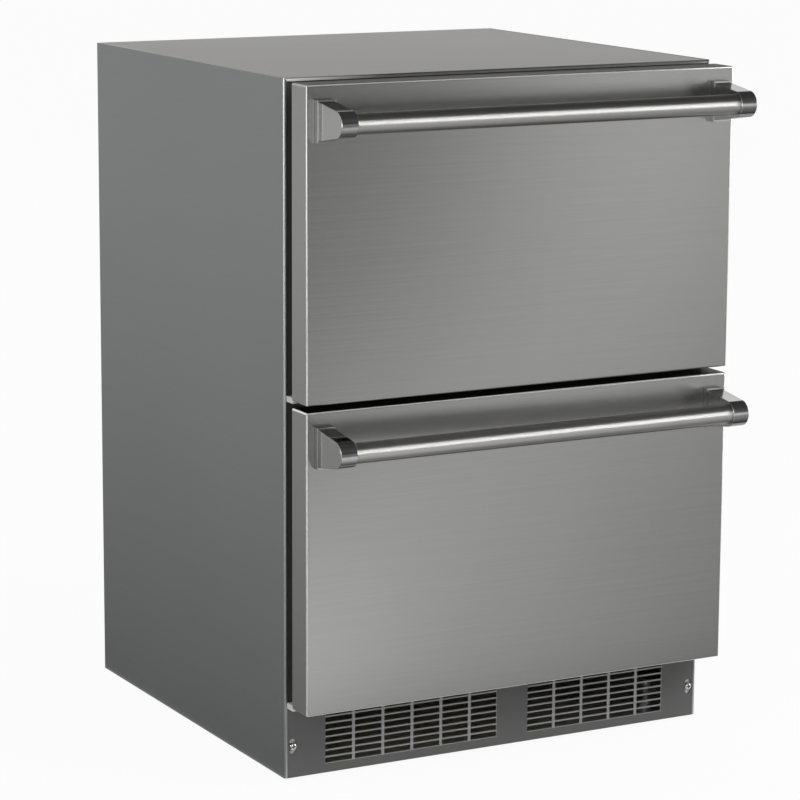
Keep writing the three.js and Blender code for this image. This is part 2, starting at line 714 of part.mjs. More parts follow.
// Moulded inner panel with the foam behind the steel, a back plate, the raised middle that carries
// the tub, and a stop at each lower corner.
function frontPanel(drawer) {
  const half = frontHalf;
  const fill = SHEET + SEAT;
  const core = common(
    frontBlank(drawer, fill),
    block([-half, half], [frontFace, frontBack], [drawer.bottom, drawer.top]));
  const plateBack = frontBack + PANEL_PROUD;
  const plate = block(
    [-half + PANEL_INSET, half - PANEL_INSET],
    [frontBack - 1, plateBack],
    [drawer.bottom + PANEL_INSET, drawer.top - PANEL_INSET]);
  const plateau = block(
    [-cavityX, cavityX],
    [plateBack - 1, plateauBack],
    [drawer.bottom + windowInset, drawer.top - windowInset]);
  const stops = [-1, 1].map((side) => {
    const edge = side * (half - 1);
    const range = [edge, edge - side * STOP_WIDTH].sort((a, b) => a - b);
    const foot = drawer.bottom - STOP_DROP;
    return block(range, [frontBack + SEAT, -STOP_CLEARANCE], [foot, foot + STOP_HEIGHT]);
  });
  return join(core, plate, plateau, ...stops);
}

function frontGasket(drawer) {
  const half = frontHalf - GASKET_INSET;
  const z0 = drawer.bottom + GASKET_INSET;
  const z1 = drawer.top - GASKET_INSET;
  const third = (gasketBack - gasketFront) / 3;
  const base = ringXZ(half, z0, z1, GASKET_WIDTH, gasketFront, gasketFront + third);
  const neck = ringXZ(half - GASKET_NECK, z0 + GASKET_NECK, z1 - GASKET_NECK,
    GASKET_WIDTH - 2 * GASKET_NECK, gasketFront + third - 0.5, gasketBack - third + 0.5);
  const bulb = ringXZ(half, z0, z1, GASKET_WIDTH, gasketBack - third, gasketBack);
  return join(base, neck, bulb);
}

const barY = frontFace - BAR_STANDOFF;
const footOuterX = frontHalf - BRACKET_INSET;
const armOuterX = footOuterX - FOOT_PROUD;
const armInnerX = armOuterX - BRACKET_WIDTH;

function handleBar(drawer) {
  const z = drawer.top - BAR_DROP;
  const end = armInnerX + SOCKET_DEPTH - SEAT;
  return rodX(BAR_RADIUS, -end, end, barY, z, 32);
}

// Angle, about the nose's centre, at which a line from (u, v) touches the nose; above or below it.
function tangentAngle(u, v, radius, above) {
  const distance = Math.hypot(u, v);
  const towards = Math.atan2(v, u);
  const spread = Math.acos(radius / distance);
  return above ? towards + spread : towards - spread;
}

// Bracket section about the bar's axis: a foot on the front, an arm that slopes to a round nose.
function bracketSection(rootY, up, down, radius) {
  const start = tangentAngle(rootY, up, radius, true);
  const end = tangentAngle(rootY, -down, radius, false);
  const section = new THREE.Shape();
  section.moveTo(rootY, up);
  section.lineTo(radius * Math.cos(start), radius * Math.sin(start));
  section.absarc(0, 0, radius, start, end + 2 * Math.PI, false);
  section.lineTo(rootY, -down);
  return section;
}

function handleBracket(drawer, side) {
  const z = drawer.top - BAR_DROP;
  const root = BAR_STANDOFF - SEAT;
  const section = bracketSection(root, BRACKET_UP, BRACKET_DOWN, NOSE_RADIUS);
  const arm = new THREE.ExtrudeGeometry(section, {
    depth: BRACKET_WIDTH, bevelEnabled: false, curveSegments: 20,
  });
  const turned = new THREE.Matrix4().makeBasis(
    new THREE.Vector3(0, 1, 0), new THREE.Vector3(0, 0, 1), new THREE.Vector3(1, 0, 0));
  arm.applyMatrix4(turned).translate(-armOuterX, barY, z);
  const footInner = -armInnerX + FOOT_PROUD;
  const footFront = frontFace - BRACKET_FOOT;
  const foot = block(
    [-footOuterX, footInner],
    [footFront, frontFace - SEAT],
    [z - BRACKET_DOWN - FOOT_PROUD, z + BRACKET_UP + FOOT_PROUD]);
  const socket = rodX(boreFor(BAR_RADIUS, 32), -armInnerX - SOCKET_DEPTH, -armInnerX + FOOT_PROUD + 1,
    barY, z, 32);
  const left = cut(join(arm, foot), socket);
  return side < 0 ? left : mirrored(left);
}

// ---------------------------------------------------------------- tubs and runners

const tubX = cavityX - SEAT - RUNNER_THICKNESS;

function tubFloor(drawer) {
  return drawer.bottom + windowInset + TUB_CLEARANCE;
}

// Channel section in x and z for the left side; offsets are measured from the cavity wall inwards.
function channel(drawer, webFrom, webTo, flangeFrom, flangeTo, halfHeight, y0, y1) {
  const wall = -cavityX + SEAT;
  const z = tubFloor(drawer) + RUNNER_RISE;
  const web = block([wall + webFrom, wall + webTo], [y0, y1], [z - halfHeight, z + halfHeight]);
  const flange = (low) => block([wall + flangeFrom, wall + flangeTo], [y0, y1], [low, low + RUNNER_STEEL]);
  return join(web, flange(z - halfHeight), flange(z + halfHeight - RUNNER_STEEL));
}

function cabinetRunner(drawer, side) {
  const left = channel(drawer, 0, RUNNER_STEEL, 0, RUNNER_THICKNESS - 2, RUNNER_HEIGHT / 2,
    RUNNER_START, drawer.back);
  return side < 0 ? left : mirrored(left);
}

function middleRunner(drawer, side) {
  const web = RUNNER_STEEL + RUNNER_PLAY;
  const halfHeight = RUNNER_HEIGHT / 2 - RUNNER_STEEL - RUNNER_PLAY;
  const left = channel(drawer, web, web + RUNNER_STEEL, web, RUNNER_THICKNESS - RUNNER_STEEL,
    halfHeight, RUNNER_START, drawer.back);
  return side < 0 ? left : mirrored(left);
}

// Open-topped tub with a folded rim and the drawer half of each runner welded to its side.
function drawerTub(drawer) {
  const z0 = tubFloor(drawer);
  const z1 = drawer.rim;
  const y0 = plateauBack + SEAT;
  const y1 = drawer.back;
  const shell = block([-tubX, tubX], [y0, y1], [z0, z1]);
  const mouth = block(
    [-tubX + TUB_WALL, tubX - TUB_WALL], [y0 + TUB_WALL, y1 - TUB_WALL], [z0 + TUB_WALL, z1 + 1]);
  const rim = block([-tubX - TUB_RIM, tubX + TUB_RIM], [y0, y1 + TUB_RIM], [z1 - TUB_WALL, z1]);
  const offset = 2 * (RUNNER_STEEL + RUNNER_PLAY);
  const halfHeight = RUNNER_HEIGHT / 2 - offset;
  const rail = channel(drawer, RUNNER_THICKNESS - RUNNER_STEEL, RUNNER_THICKNESS + TUB_WALL / 2,
    offset, RUNNER_THICKNESS + TUB_WALL / 2, halfHeight, RUNNER_START, y1);
  return cut(join(shell, rim, rail, mirrored(rail)), mouth);
}

// ---------------------------------------------------------------- controls and light

const controlFront = bodyFront + CONTROL_START;
const controlZ = controlTop - CONTROL_HEIGHT / 2;
const buttonPlaces = [
  ['power_button', -(LENS_WIDTH / 2 + 1.6 * BUTTON_PITCH)],
  ['warmer_button', -(LENS_WIDTH / 2 + 0.6 * BUTTON_PITCH)],
  ['colder_button', LENS_WIDTH / 2 + 0.6 * BUTTON_PITCH],
  ['light_button', LENS_WIDTH / 2 + 1.6 * BUTTON_PITCH],
];

function controlHousing() {
  const body = prismX(outline([
    [controlFront, controlBottom],
    [controlFront + CONTROL_DEPTH - CONTROL_SLOPE, controlBottom],
    [controlFront + CONTROL_DEPTH, controlBottom + CONTROL_SLOPE],
    [controlFront + CONTROL_DEPTH, controlTop],
    [controlFront, controlTop],
  ]), -CONTROL_WIDTH / 2, CONTROL_WIDTH / 2);
  const lensPocket = block(
    [-LENS_WIDTH / 2 - SEAT, LENS_WIDTH / 2 + SEAT],
    [controlFront - 1, controlFront + LENS_THICKNESS],
    [controlZ - LENS_HEIGHT / 2 - SEAT, controlZ + LENS_HEIGHT / 2 + SEAT]);
  const pocketEnd = controlFront - BUTTON_PROUD + BUTTON_LENGTH + BUTTON_TRAVEL + SEAT;
  const pockets = buttonPlaces.map(([, x]) => (
    rodY(boreFor(BUTTON_RADIUS, 20), controlFront - 1, pocketEnd, x, controlZ, 20)));
  return cut(body, lensPocket, ...pockets);
}

function displayLens() {
  return block(
    [-LENS_WIDTH / 2, LENS_WIDTH / 2],
    [controlFront - SEAT, controlFront + LENS_THICKNESS - SEAT],
    [controlZ - LENS_HEIGHT / 2, controlZ + LENS_HEIGHT / 2]);
}

function pushButton(x) {
  const start = controlFront - BUTTON_PROUD;
  const cap = new THREE.LatheGeometry([
    new THREE.Vector2(0, 0),
    new THREE.Vector2(BUTTON_RADIUS - 1, 0),
    new THREE.Vector2(BUTTON_RADIUS, 1),
    new THREE.Vector2(BUTTON_RADIUS, BUTTON_LENGTH),
    new THREE.Vector2(0, BUTTON_LENGTH),
  ], 20);
  return cap.translate(x, start, controlZ);
}

function lightBar() {
  const y0 = bodyFront + LIGHT_START;
  const slope = LIGHT_HEIGHT / 2;
  return prismX(outline([
    [y0 + slope, controlTop - LIGHT_HEIGHT],
    [y0 + LIGHT_DEPTH - slope, controlTop - LIGHT_HEIGHT],
    [y0 + LIGHT_DEPTH, controlTop],
    [y0, controlTop],
  ]), -LIGHT_WIDTH / 2, LIGHT_WIDTH / 2);
}

// ---------------------------------------------------------------- evaporator

const coverTop = cavityTop - COVER_DROP;
const evapFanZ = coverTop - EVAP_FAN_DROP;

function evaporatorCover() {
  const back = cavityBack - SEAT;
  const half = COVER_WIDTH / 2;
  const bottom = stepTop + SEAT;
  const shell = cut(
    block([-half, half], [coverFront, back], [bottom, coverTop]),
    block([-half + COVER_WALL, half - COVER_WALL], [coverFront + COVER_WALL, back + 1],
      [bottom + COVER_WALL, coverTop - COVER_WALL]));
  const mouth = rodY(EVAP_FAN_RADIUS + 3, coverFront - 1, coverFront + COVER_WALL + 1, 0, evapFanZ);
  const reach = EVAP_FAN_RADIUS + 5;
  const layer = [coverFront, coverFront + COVER_WALL];
  const spokes = [
    block([-reach, reach], layer, [evapFanZ - 2, evapFanZ + 2]),
    block([-2, 2], layer, [evapFanZ - reach, evapFanZ + reach]),
    rodY(EVAP_FAN_RADIUS / 3, coverFront, coverFront + COVER_WALL, 0, evapFanZ),
  ];
  const inlets = [];
  for (let row = 0; row < 6; row += 1) {
    const z = bottom + 14 + row * 14;
    inlets.push(block([-half + 40, half - 40], [coverFront - 1, coverFront + COVER_WALL + 1], [z, z + 6]));
  }
  const passage = rodZ(boreFor(PIPE_RADIUS, 12) + SEAT, bottom - 1, bottom + COVER_WALL + 1,
    suctionX, suctionY, 12);
  return cut(join(cut(shell, mouth), ...spokes), ...inlets, passage);
}

// Finned coil: straight tubes through fins, with an end plate at each side.
function finnedCoil([x0, x1], [y0, y1], [z0, z1], along, fins, rows) {
  const parts = [];
  for (let i = 0; i <= fins; i += 1) {
    const t = i / fins;
    const thick = i === 0 || i === fins ? END_PLATE : FIN_THICKNESS;
    if (along === 'x') {
      const x = x0 + t * (x1 - x0 - thick);
      parts.push(block([x, x + thick], [y0, y1], [z0, z1]));
    } else {
      const y = y0 + t * (y1 - y0 - thick);
      parts.push(block([x0, x1], [y, y + thick], [z0, z1]));
    }
  }
  for (let row = 0; row < rows; row += 1) {
    const z = z0 + ((row + 0.5) * (z1 - z0)) / rows;
    if (along === 'x') parts.push(rodX(PIPE_RADIUS, x0, x1, (y0 + y1) / 2, z, 8));
    else parts.push(rodY(PIPE_RADIUS, y0, y1, (x0 + x1) / 2, z, 8));
  }
  return join(...parts);
}

const evapBottom = stepTop + EVAP_LIFT;

function evaporatorCoil() {
  const back = cavityBack - SEAT;
  return finnedCoil(
    [-EVAP_WIDTH / 2, EVAP_WIDTH / 2],
    [back - EVAP_DEPTH, back],
    [evapBottom, evapBottom + EVAP_HEIGHT], 'x', EVAP_FINS, EVAP_TUBES);
}

// Five-blade fan about the y axis at the origin, hub from 0 to its thickness, with a shaft bore.
function fanWheel(radius, hubRadius, thickness, shaftRadius) {
  const parts = [rodY(hubRadius, 0, thickness, 0, 0, 20)];
  const blades = 5;
  for (let i = 0; i < blades; i += 1) {
    const length = radius - hubRadius * 0.7;
    const blade = new THREE.BoxGeometry(length, 1.4, thickness * 1.7);
    blade.rotateX(-Math.PI / 3.4).translate(hubRadius * 0.7 + length / 2, thickness / 2, 0);
    blade.rotateY((2 * Math.PI * i) / blades);
    parts.push(blade);
  }
  const bore = rodY(boreFor(shaftRadius, 12), thickness * 0.3, thickness + 1, 0, 0, 12);
  const disc = rodY(radius, 0, thickness, 0, 0, 32);
  return cut(common(join(...parts), disc), bore);
}

const evapFanBack = cavityBack - SEAT - COVER_WALL - EVAP_MOTOR_LENGTH - 2 * SEAT;

function evaporatorFan() {
  const wheel = fanWheel(EVAP_FAN_RADIUS, EVAP_FAN_RADIUS / 3, EVAP_FAN_THICKNESS, SHAFT_RADIUS);
  return wheel.translate(0, evapFanBack - EVAP_FAN_THICKNESS, evapFanZ);
}

function evaporatorMotor() {
  const back = cavityBack - SEAT;
  const plateFront = back - COVER_WALL;
  const motorFront = plateFront - EVAP_MOTOR_LENGTH;
  const halfPlate = EVAP_PLATE / 2;
  return join(
    block([-halfPlate, halfPlate], [plateFront, back], [evapFanZ - halfPlate, evapFanZ + halfPlate]),
    rodY(EVAP_MOTOR_RADIUS, motorFront, plateFront + 1, 0, evapFanZ, 20),
    rodY(SHAFT_RADIUS, evapFanBack - EVAP_FAN_THICKNESS * 0.6, motorFront + 1, 0, evapFanZ, 12));
}

// ---------------------------------------------------------------- condensing unit

const compressorX = COMPRESSOR_INSET - halfWidth;
const stubDistance = COMPRESSOR_RADIUS * 0.42;

function compressorShell(grow) {
  const r = COMPRESSOR_RADIUS + grow;
  const dome = COMPRESSOR_RADIUS * 0.45;
  const profile = [[0, compressorBottom - grow], [r * 0.75, compressorBottom - grow]];
  profile.push([r, compressorBottom + dome / 2]);
  for (let i = 0; i <= 5; i += 1) {
    const angle = (i / 5) * (Math.PI / 2);
    profile.push([r * Math.cos(angle), compressorTop + grow - dome + dome * Math.sin(angle)]);
  }
  profile[profile.length - 1][0] = 0;
  return turnedZ(profile, compressorX, machineMiddle);
}

function compressor() {
  const plateTop = compressorBottom;
  const plateBottom = plateTop - COMPRESSOR_PLATE;
  const halfX = COMPRESSOR_RADIUS + 7;
  const halfY = COMPRESSOR_RADIUS - 8;
  const parts = [
    compressorShell(0),
    block([compressorX - halfX, compressorX + halfX], [machineMiddle - halfY, machineMiddle + halfY],
      [plateBottom, plateTop + 0.5]),
  ];
  for (const sx of [-1, 1]) {
    for (const sy of [-1, 1]) {
      parts.push(rodZ(9, standing, plateBottom + 0.5,
        compressorX + sx * (halfX - 12), machineMiddle + sy * (halfY - 12), 12));
    }
  }
  const stub = (sx, sy) => rodZ(PIPE_RADIUS, compressorTop - COMPRESSOR_RADIUS * 0.3,
    compressorTop + PIPE_RISE / 4, compressorX + sx * stubDistance, machineMiddle + sy * stubDistance, 8);
  parts.push(stub(1, -1), stub(-1, 1));
  return join(...parts);
}

function relayBox() {
  const x1 = compressorX - COMPRESSOR_RADIUS * 0.9;
  const z0 = compressorBottom + 50;
  const box = block(
    [compressorX - COMPRESSOR_RADIUS - RELAY_DEPTH, x1],
    [machineMiddle - RELAY_WIDTH / 2, machineMiddle + RELAY_WIDTH / 2],
    [z0, z0 + RELAY_HEIGHT]);
  return cut(box, compressorShell(SEAT));
}

const ductRadius = FAN_RADIUS + FAN_GAP;
const condenserHalf = ductRadius + SHROUD_RIM;
const condenserFront = compressorX + CONDENSER_DISTANCE;
const condenserBack = condenserFront + CONDENSER_THICKNESS;
const condenserZ = [standing, standing + 2 * condenserHalf];
const condenserY = [machineMiddle - condenserHalf, machineMiddle + condenserHalf];
const fanZ = standing + condenserHalf;

function condenserCoil() {
  return finnedCoil([condenserFront, condenserBack], condenserY, condenserZ, 'y',
    CONDENSER_FINS, CONDENSER_TUBES);
}

const shroudBack = condenserFront - SEAT;
const shroudFront = shroudBack - SHROUD_DEPTH;
const motorRing = 8;             // width of the ring that holds the motor

function condenserShroud() {
  const frame = cut(
    block([shroudFront, shroudBack], condenserY, condenserZ),
    rodX(ductRadius, shroudFront - 1, shroudBack + 1, machineMiddle, fanZ, 32));
  const ringX = [shroudFront - motorRing, shroudFront];
  const parts = [frame, rodX(MOTOR_RADIUS + 5, ringX[0], ringX[1], machineMiddle, fanZ)];
  for (let i = 0; i < 3; i += 1) {
    const length = ductRadius + SHROUD_RIM * 0.8;
    const arm = block([ringX[0], ringX[1] + 1], [0, length], [-4, 4]);
    arm.rotateX(Math.PI / 2 + (2 * Math.PI * i) / 3).translate(0, machineMiddle, fanZ);
    parts.push(arm);
  }
  return cut(join(...parts),
    rodX(boreFor(MOTOR_RADIUS), ringX[0] - 1, ringX[1] + 2, machineMiddle, fanZ));
}

const fanStart = shroudFront + 6;

function condenserMotor() {
  const front = shroudFront - SEAT;
  return join(
    rodX(MOTOR_RADIUS, front - MOTOR_LENGTH, front, machineMiddle, fanZ),
    rodX(SHAFT_RADIUS, front - 1, fanStart + FAN_THICKNESS * 0.6, machineMiddle, fanZ, 12));
}

// The wheel's axis runs along x; its bore opens towards the motor.
function condenserFan() {
  const wheel = fanWheel(FAN_RADIUS, FAN_RADIUS / 3.6, FAN_THICKNESS, SHAFT_RADIUS);
  return wheel.rotateZ(Math.PI / 2).translate(fanStart + FAN_THICKNESS, machineMiddle, fanZ);
}

function drainTray() {
  const x = [condenserBack + TRAY_GAP, legX - TRAY_LEG_DISTANCE];
  const y = [machineMiddle - TRAY_LENGTH / 2, machineMiddle + TRAY_LENGTH / 2];
  const z = [standing, standing + TRAY_HEIGHT];
  return cut(block(x, y, z), block(
    [x[0] + TUB_WALL, x[1] - TUB_WALL], [y[0] + TUB_WALL, y[1] - TUB_WALL], [z[0] + TUB_WALL, z[1] + 1]));
}

// Filter drier held against the condenser's far face.
function filterDrier() {
  const x = condenserBack + SEAT + DRIER_RADIUS;
  const z = condenserZ[1] - 2 * DRIER_RADIUS;
  const half = DRIER_LENGTH / 2;
  const taper = DRIER_RADIUS * 0.9;
  return new THREE.LatheGeometry([
    new THREE.Vector2(0, -half),
    new THREE.Vector2(PIPE_RADIUS, -half),
    new THREE.Vector2(PIPE_RADIUS, -half + taper),
    new THREE.Vector2(DRIER_RADIUS, -half + 2 * taper),
    new THREE.Vector2(DRIER_RADIUS, half - 2 * taper),
    new THREE.Vector2(PIPE_RADIUS, half - taper),
    new THREE.Vector2(PIPE_RADIUS, half),
    new THREE.Vector2(0, half),
  ], 16).translate(x, machineMiddle, z);
}

const stubTop = compressorTop + PIPE_RISE / 4 + SEAT;

function dischargeLine() {
  const y = machineMiddle - stubDistance;
  const x = condenserFront + CONDENSER_THICKNESS / 2;
  return pipe([
    [compressorX + stubDistance, y, stubTop],
    [compressorX + stubDistance, y, pipeZ],
    [x, y, pipeZ],
    [x, y, condenserZ[1] + SEAT],
  ], PIPE_RADIUS, PIPE_BEND);
}

function suctionLine() {
  const x = compressorX - stubDistance;
  const y = machineMiddle + stubDistance;
  return pipe([
    [x, y, stubTop],
    [x, y, pipeZ],
    [suctionX, y, pipeZ],
    [suctionX, suctionY, pipeZ],
    [suctionX, suctionY, evapBottom - SEAT],
  ], PIPE_RADIUS, PIPE_BEND);
}

// Bush in the rear panel where the mains lead would come out.
function cordGland() {
  const flange = GLAND_RADIUS + 4;
  const inner = rearFront - SEAT - 2;
  return new THREE.LatheGeometry([
    new THREE.Vector2(4.5, inner - 8),
    new THREE.Vector2(GLAND_RADIUS - 1, inner - 8),
    new THREE.Vector2(GLAND_RADIUS, rearBack),
    new THREE.Vector2(GLAND_RADIUS, rearBack + SEAT),
    new THREE.Vector2(flange, rearBack + SEAT),
    new THREE.Vector2(flange, CABINET_DEPTH),
    new THREE.Vector2(4.5, CABINET_DEPTH),
    new THREE.Vector2(4.5, inner - 8),
  ], CIRCLE_STEPS).translate(halfWidth - GLAND_INSET, 0, GLAND_Z);
}

// ---------------------------------------------------------------- assembly

addPiece('side_panel_left', sidePanel(-1), finishes.shell);
addPiece('side_panel_right', sidePanel(1), finishes.shell);
addPiece('top_panel', topPanel(), finishes.steel);
addPiece('rear_panel', rearPanel(), finishes.zinc);
addPiece('base_pan', basePan(), finishes.zinc);
addPiece('insulation_foam', foamBody(), finishes.foam);
addPiece('inner_liner', innerLiner(), finishes.liner);
addPiece('face_frame', faceFrame(), finishes.frame);
addPiece('toe_grille', toeGrille(), finishes.grille);
addPiece('grille_screw_left', grilleScrew(-1), finishes.screw);
addPiece('grille_screw_right', grilleScrew(1), finishes.screw);
for (const [place, x, y] of legPlaces) {
  addPiece(`leveling_leg_${place}`, levellingLeg(x, y), finishes.zinc);
}

for (const [level, drawer] of Object.entries(drawers)) {
  addPiece(`${level}_front_skin`, frontSkin(drawer), finishes.steel);
  addPiece(`${level}_front_panel`, frontPanel(drawer), finishes.panel);
  addPiece(`${level}_gasket`, frontGasket(drawer), finishes.gasket);
  addPiece(`${level}_handle_bar`, handleBar(drawer), finishes.steel);
  addPiece(`${level}_tub`, drawerTub(drawer), finishes.tub);
  for (const [name, side] of [['left', -1], ['right', 1]]) {
    addPiece(`${level}_handle_bracket_${name}`, handleBracket(drawer, side), finishes.polished);
    addPiece(`${level}_cabinet_runner_${name}`, cabinetRunner(drawer, side), finishes.zinc);
    addPiece(`${level}_middle_runner_${name}`, middleRunner(drawer, side), finishes.zinc);
  }
}

addPiece('control_housing', controlHousing(), finishes.black);
addPiece('display_lens', displayLens(), finishes.lens);
for (const [name, x] of buttonPlaces) {
  addPiece(name, pushButton(x), finishes.button);
}
addPiece('light_bar', lightBar(), finishes.light);

addPiece('evaporator_cover', evaporatorCover(), finishes.liner);
addPiece('evaporator_coil', evaporatorCoil(), finishes.fins);
addPiece('evaporator_fan_motor', evaporatorMotor(), finishes.black);
addPiece('evaporator_fan', evaporatorFan(), finishes.button);

addPiece('compressor', compressor(), finishes.dark);
addPiece('compressor_relay_box', relayBox(), finishes.black);
addPiece('condenser_coil', condenserCoil(), finishes.fins);
addPiece('condenser_fan_shroud', condenserShroud(), finishes.zinc);
addPiece('condenser_fan_motor', condenserMotor(), finishes.dark);
addPiece('condenser_fan', condenserFan(), finishes.black);
addPiece('drain_tray', drainTray(), finishes.tray);
addPiece('filter_drier', filterDrier(), finishes.copper);
addPiece('discharge_line', dischargeLine(), finishes.copper);
addPiece('suction_line', suctionLine(), finishes.copper);
addPiece('cord_gland', cordGland(), finishes.black);

const foremost = barY - NOSE_RADIUS;
refrigerator.position.y = -(foremost + CABINET_DEPTH) / 2;

export default refrigerator;
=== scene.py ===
"""Looks of the undercounter drawer refrigerator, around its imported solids."""

import json
import math

import bmesh
import bpy
from mathutils import Matrix, Vector

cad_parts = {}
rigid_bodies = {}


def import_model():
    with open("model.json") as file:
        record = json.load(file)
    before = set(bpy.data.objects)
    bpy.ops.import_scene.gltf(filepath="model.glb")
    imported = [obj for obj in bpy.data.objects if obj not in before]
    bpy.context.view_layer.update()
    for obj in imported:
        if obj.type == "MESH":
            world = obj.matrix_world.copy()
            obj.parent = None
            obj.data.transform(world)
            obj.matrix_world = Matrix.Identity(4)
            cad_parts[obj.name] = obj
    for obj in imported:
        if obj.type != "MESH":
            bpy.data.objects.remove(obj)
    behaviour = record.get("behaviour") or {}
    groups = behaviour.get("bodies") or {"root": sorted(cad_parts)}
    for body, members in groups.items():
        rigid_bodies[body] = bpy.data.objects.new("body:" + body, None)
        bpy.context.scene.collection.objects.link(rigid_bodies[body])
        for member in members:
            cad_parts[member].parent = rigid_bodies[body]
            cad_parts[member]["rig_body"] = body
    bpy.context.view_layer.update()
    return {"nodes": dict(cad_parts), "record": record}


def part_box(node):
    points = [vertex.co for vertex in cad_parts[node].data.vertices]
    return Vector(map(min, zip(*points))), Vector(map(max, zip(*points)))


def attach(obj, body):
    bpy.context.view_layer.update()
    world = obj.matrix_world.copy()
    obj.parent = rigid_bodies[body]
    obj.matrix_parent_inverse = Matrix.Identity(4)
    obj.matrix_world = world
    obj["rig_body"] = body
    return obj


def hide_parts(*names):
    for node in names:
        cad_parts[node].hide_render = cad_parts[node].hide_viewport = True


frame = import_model()
solids = frame["nodes"]

MM = 0.001
LEVELS = ("upper", "lower")
SIDES = (("left", -1), ("right", 1))
CORNERS = ("front_left", "front_right", "rear_left", "rear_right")
X_AXIS, Y_AXIS, Z_AXIS = 0, 1, 2
QUARTERS = ((1, 1), (-1, 1), (-1, -1), (1, -1))

# The toe grille's slots, in millimetres: two fields of columns, from the first slot's middle.
SLOT_SIZE = (37.6, 6.5)
SLOT_PITCH = (41.6, 8.7)
SLOT_ROWS = 8
SLOT_FIELDS = ((-227.4, 6), (64.2, 5))
FIRST_SLOT_Z = 20.65


# ---- finishes


class Nodes:
    """The nodes of one tree, made and linked in few words."""

    def __init__(self, tree):
        self.tree = tree

    def feed(self, socket, source):
        """Links another node's output to a socket, or sets its plain value."""
        if isinstance(source, bpy.types.NodeSocket):
            self.tree.links.new(source, socket)
        else:
            socket.default_value = source

    def node(self, kind, feeds=(), **settings):
        """A new node; feeds are the sources of its sockets, by name or in their order."""
        made = self.tree.nodes.new(kind)
        for key, value in settings.items():
            setattr(made, key, value)
        for socket, source in feeds.items() if isinstance(feeds, dict) else enumerate(feeds):
            self.feed(made.inputs[socket], source)
        return made

    def math(self, operation, *values):
        return self.node("ShaderNodeMath", values, operation=operation).outputs[0]

    def vector(self, operation, first, second):
        feeds = {0: first, "Scale" if operation == "SCALE" else 1: second}
        return self.node("ShaderNodeVectorMath", feeds, operation=operation).outputs[0]

    def times(self, *values):
        total = values[0]
        for value in values[1:]:
            total = self.math("MULTIPLY", total, value)
        return total

    def ranged(self, value, low, high, start=0.3, stop=0.7):
        """Low where the value is at its start, high where it is at its stop."""
        return self.node("ShaderNodeMapRange", (value, start, stop, low, high)).outputs[0]


class Finish(Nodes):
    """A node material on one Principled shader, whose patterns follow Object coordinates."""

    def __init__(self, colour, roughness, metallic=0.0):
        self.material = bpy.data.materials.new("finish")
        self.material.use_nodes = True
        super().__init__(self.material.node_tree)
        self.shader = self.tree.nodes["Principled BSDF"]
        self.place = self.node("ShaderNodeTexCoord").outputs["Object"]
        self.colour = colour
        self.roughness = roughness
        self.put("Base Color", (*colour, 1))
        self.put("Metallic", metallic)
        self.put("Roughness", roughness)

    def put(self, socket, source):
        self.feed(self.shader.inputs[socket], source)

    def stretched(self, scale):
        """Object coordinates times a scale, one for all axes or one for each."""
        each = [scale] * 3 if isinstance(scale, (int, float)) else scale
        return self.node(
            "ShaderNodeMapping", {"Vector": self.place, "Scale": each}).outputs["Vector"]

    def noise(self, scale, detail=2.0, sharp=0.5):
        feeds = {"Vector": self.stretched(scale), "Scale": 1.0, "Detail": detail,
                 "Roughness": sharp}
        return self.node("ShaderNodeTexNoise", feeds).outputs["Fac"]

    def part(self, vector, axis):
        return self.node("ShaderNodeSeparateXYZ", (vector,)).outputs[axis]

    def at(self, axis):
        return self.part(self.place, axis)

    def normal(self):
        return self.node("ShaderNodeNewGeometry").outputs["Normal"]

    def facing(self, axis):
        return self.part(self.normal(), axis)

    def ramp(self, value, stops):
        """Value through a curve of (place, level) stops, eased between them."""
        ramp = self.node("ShaderNodeValToRGB", {"Fac": value})
        ramp.color_ramp.interpolation = "EASE"
        elements = ramp.color_ramp.elements
        while len(elements) < len(stops):
            elements.new(0.5)
        for element, (place, level) in zip(elements, stops):
            element.position = place
            element.color = (level, level, level, 1)
        return ramp.outputs["Color"]

    def shade(self, *levels):
        """The base colour times levels that vary over the surface."""
        self.put("Base Color", self.vector("SCALE", self.colour, self.times(*levels)))

    def roughen(self, value, least, most):
        """The roughness times a share that follows a value."""
        self.put("Roughness", self.ranged(value, self.roughness * least, self.roughness * most))

    def grain(self, amount, about):
        """Stretches highlights across a brushing whose lines run round one axis."""
        axis = [float(axis == about) for axis in range(3)]
        aside = (0.02, 0, 0) if about == Z_AXIS else (0, 0, 0.02)
        lines = self.vector("CROSS_PRODUCT", axis, self.normal())
        self.put("Tangent", self.vector("ADD", lines, aside))
        self.put("Anisotropic", amount)
        self.put("Anisotropic Rotation", 0.25)

    def shaded_below(self, lowest, start, stop):
        """Painted shade: 1 on normals above the stop level, falling to its lowest at the start
        level.
        """
        return self.ranged(self.facing(Z_AXIS), lowest, 1.0, start, stop)

    def bump(self, height, distance):
        bump = self.node("ShaderNodeBump", {"Height": height, "Distance": distance})
        self.put("Normal", bump.outputs["Normal"])


# Levels along a ramp, as (place, level): how far a normal belongs to the fold between a front's
# face and its left side, and how bright a front's steel is from level to upward normals. The fold
# of the top edge is brightened, a painted highlight, and the narrow face behind it is darkened,
# painted shade.
SIDE_FOLD = [(0.0, 0.0), (0.08, 0.0), (0.25, 1.0), (0.9, 1.0), (0.99, 0.0), (1.0, 0.0)]
FOLDED_EDGE = [(0.0, 0.5), (0.08, 0.5), (0.25, 0.95), (0.8, 0.95), (0.95, 0.27), (1.0, 0.27)]


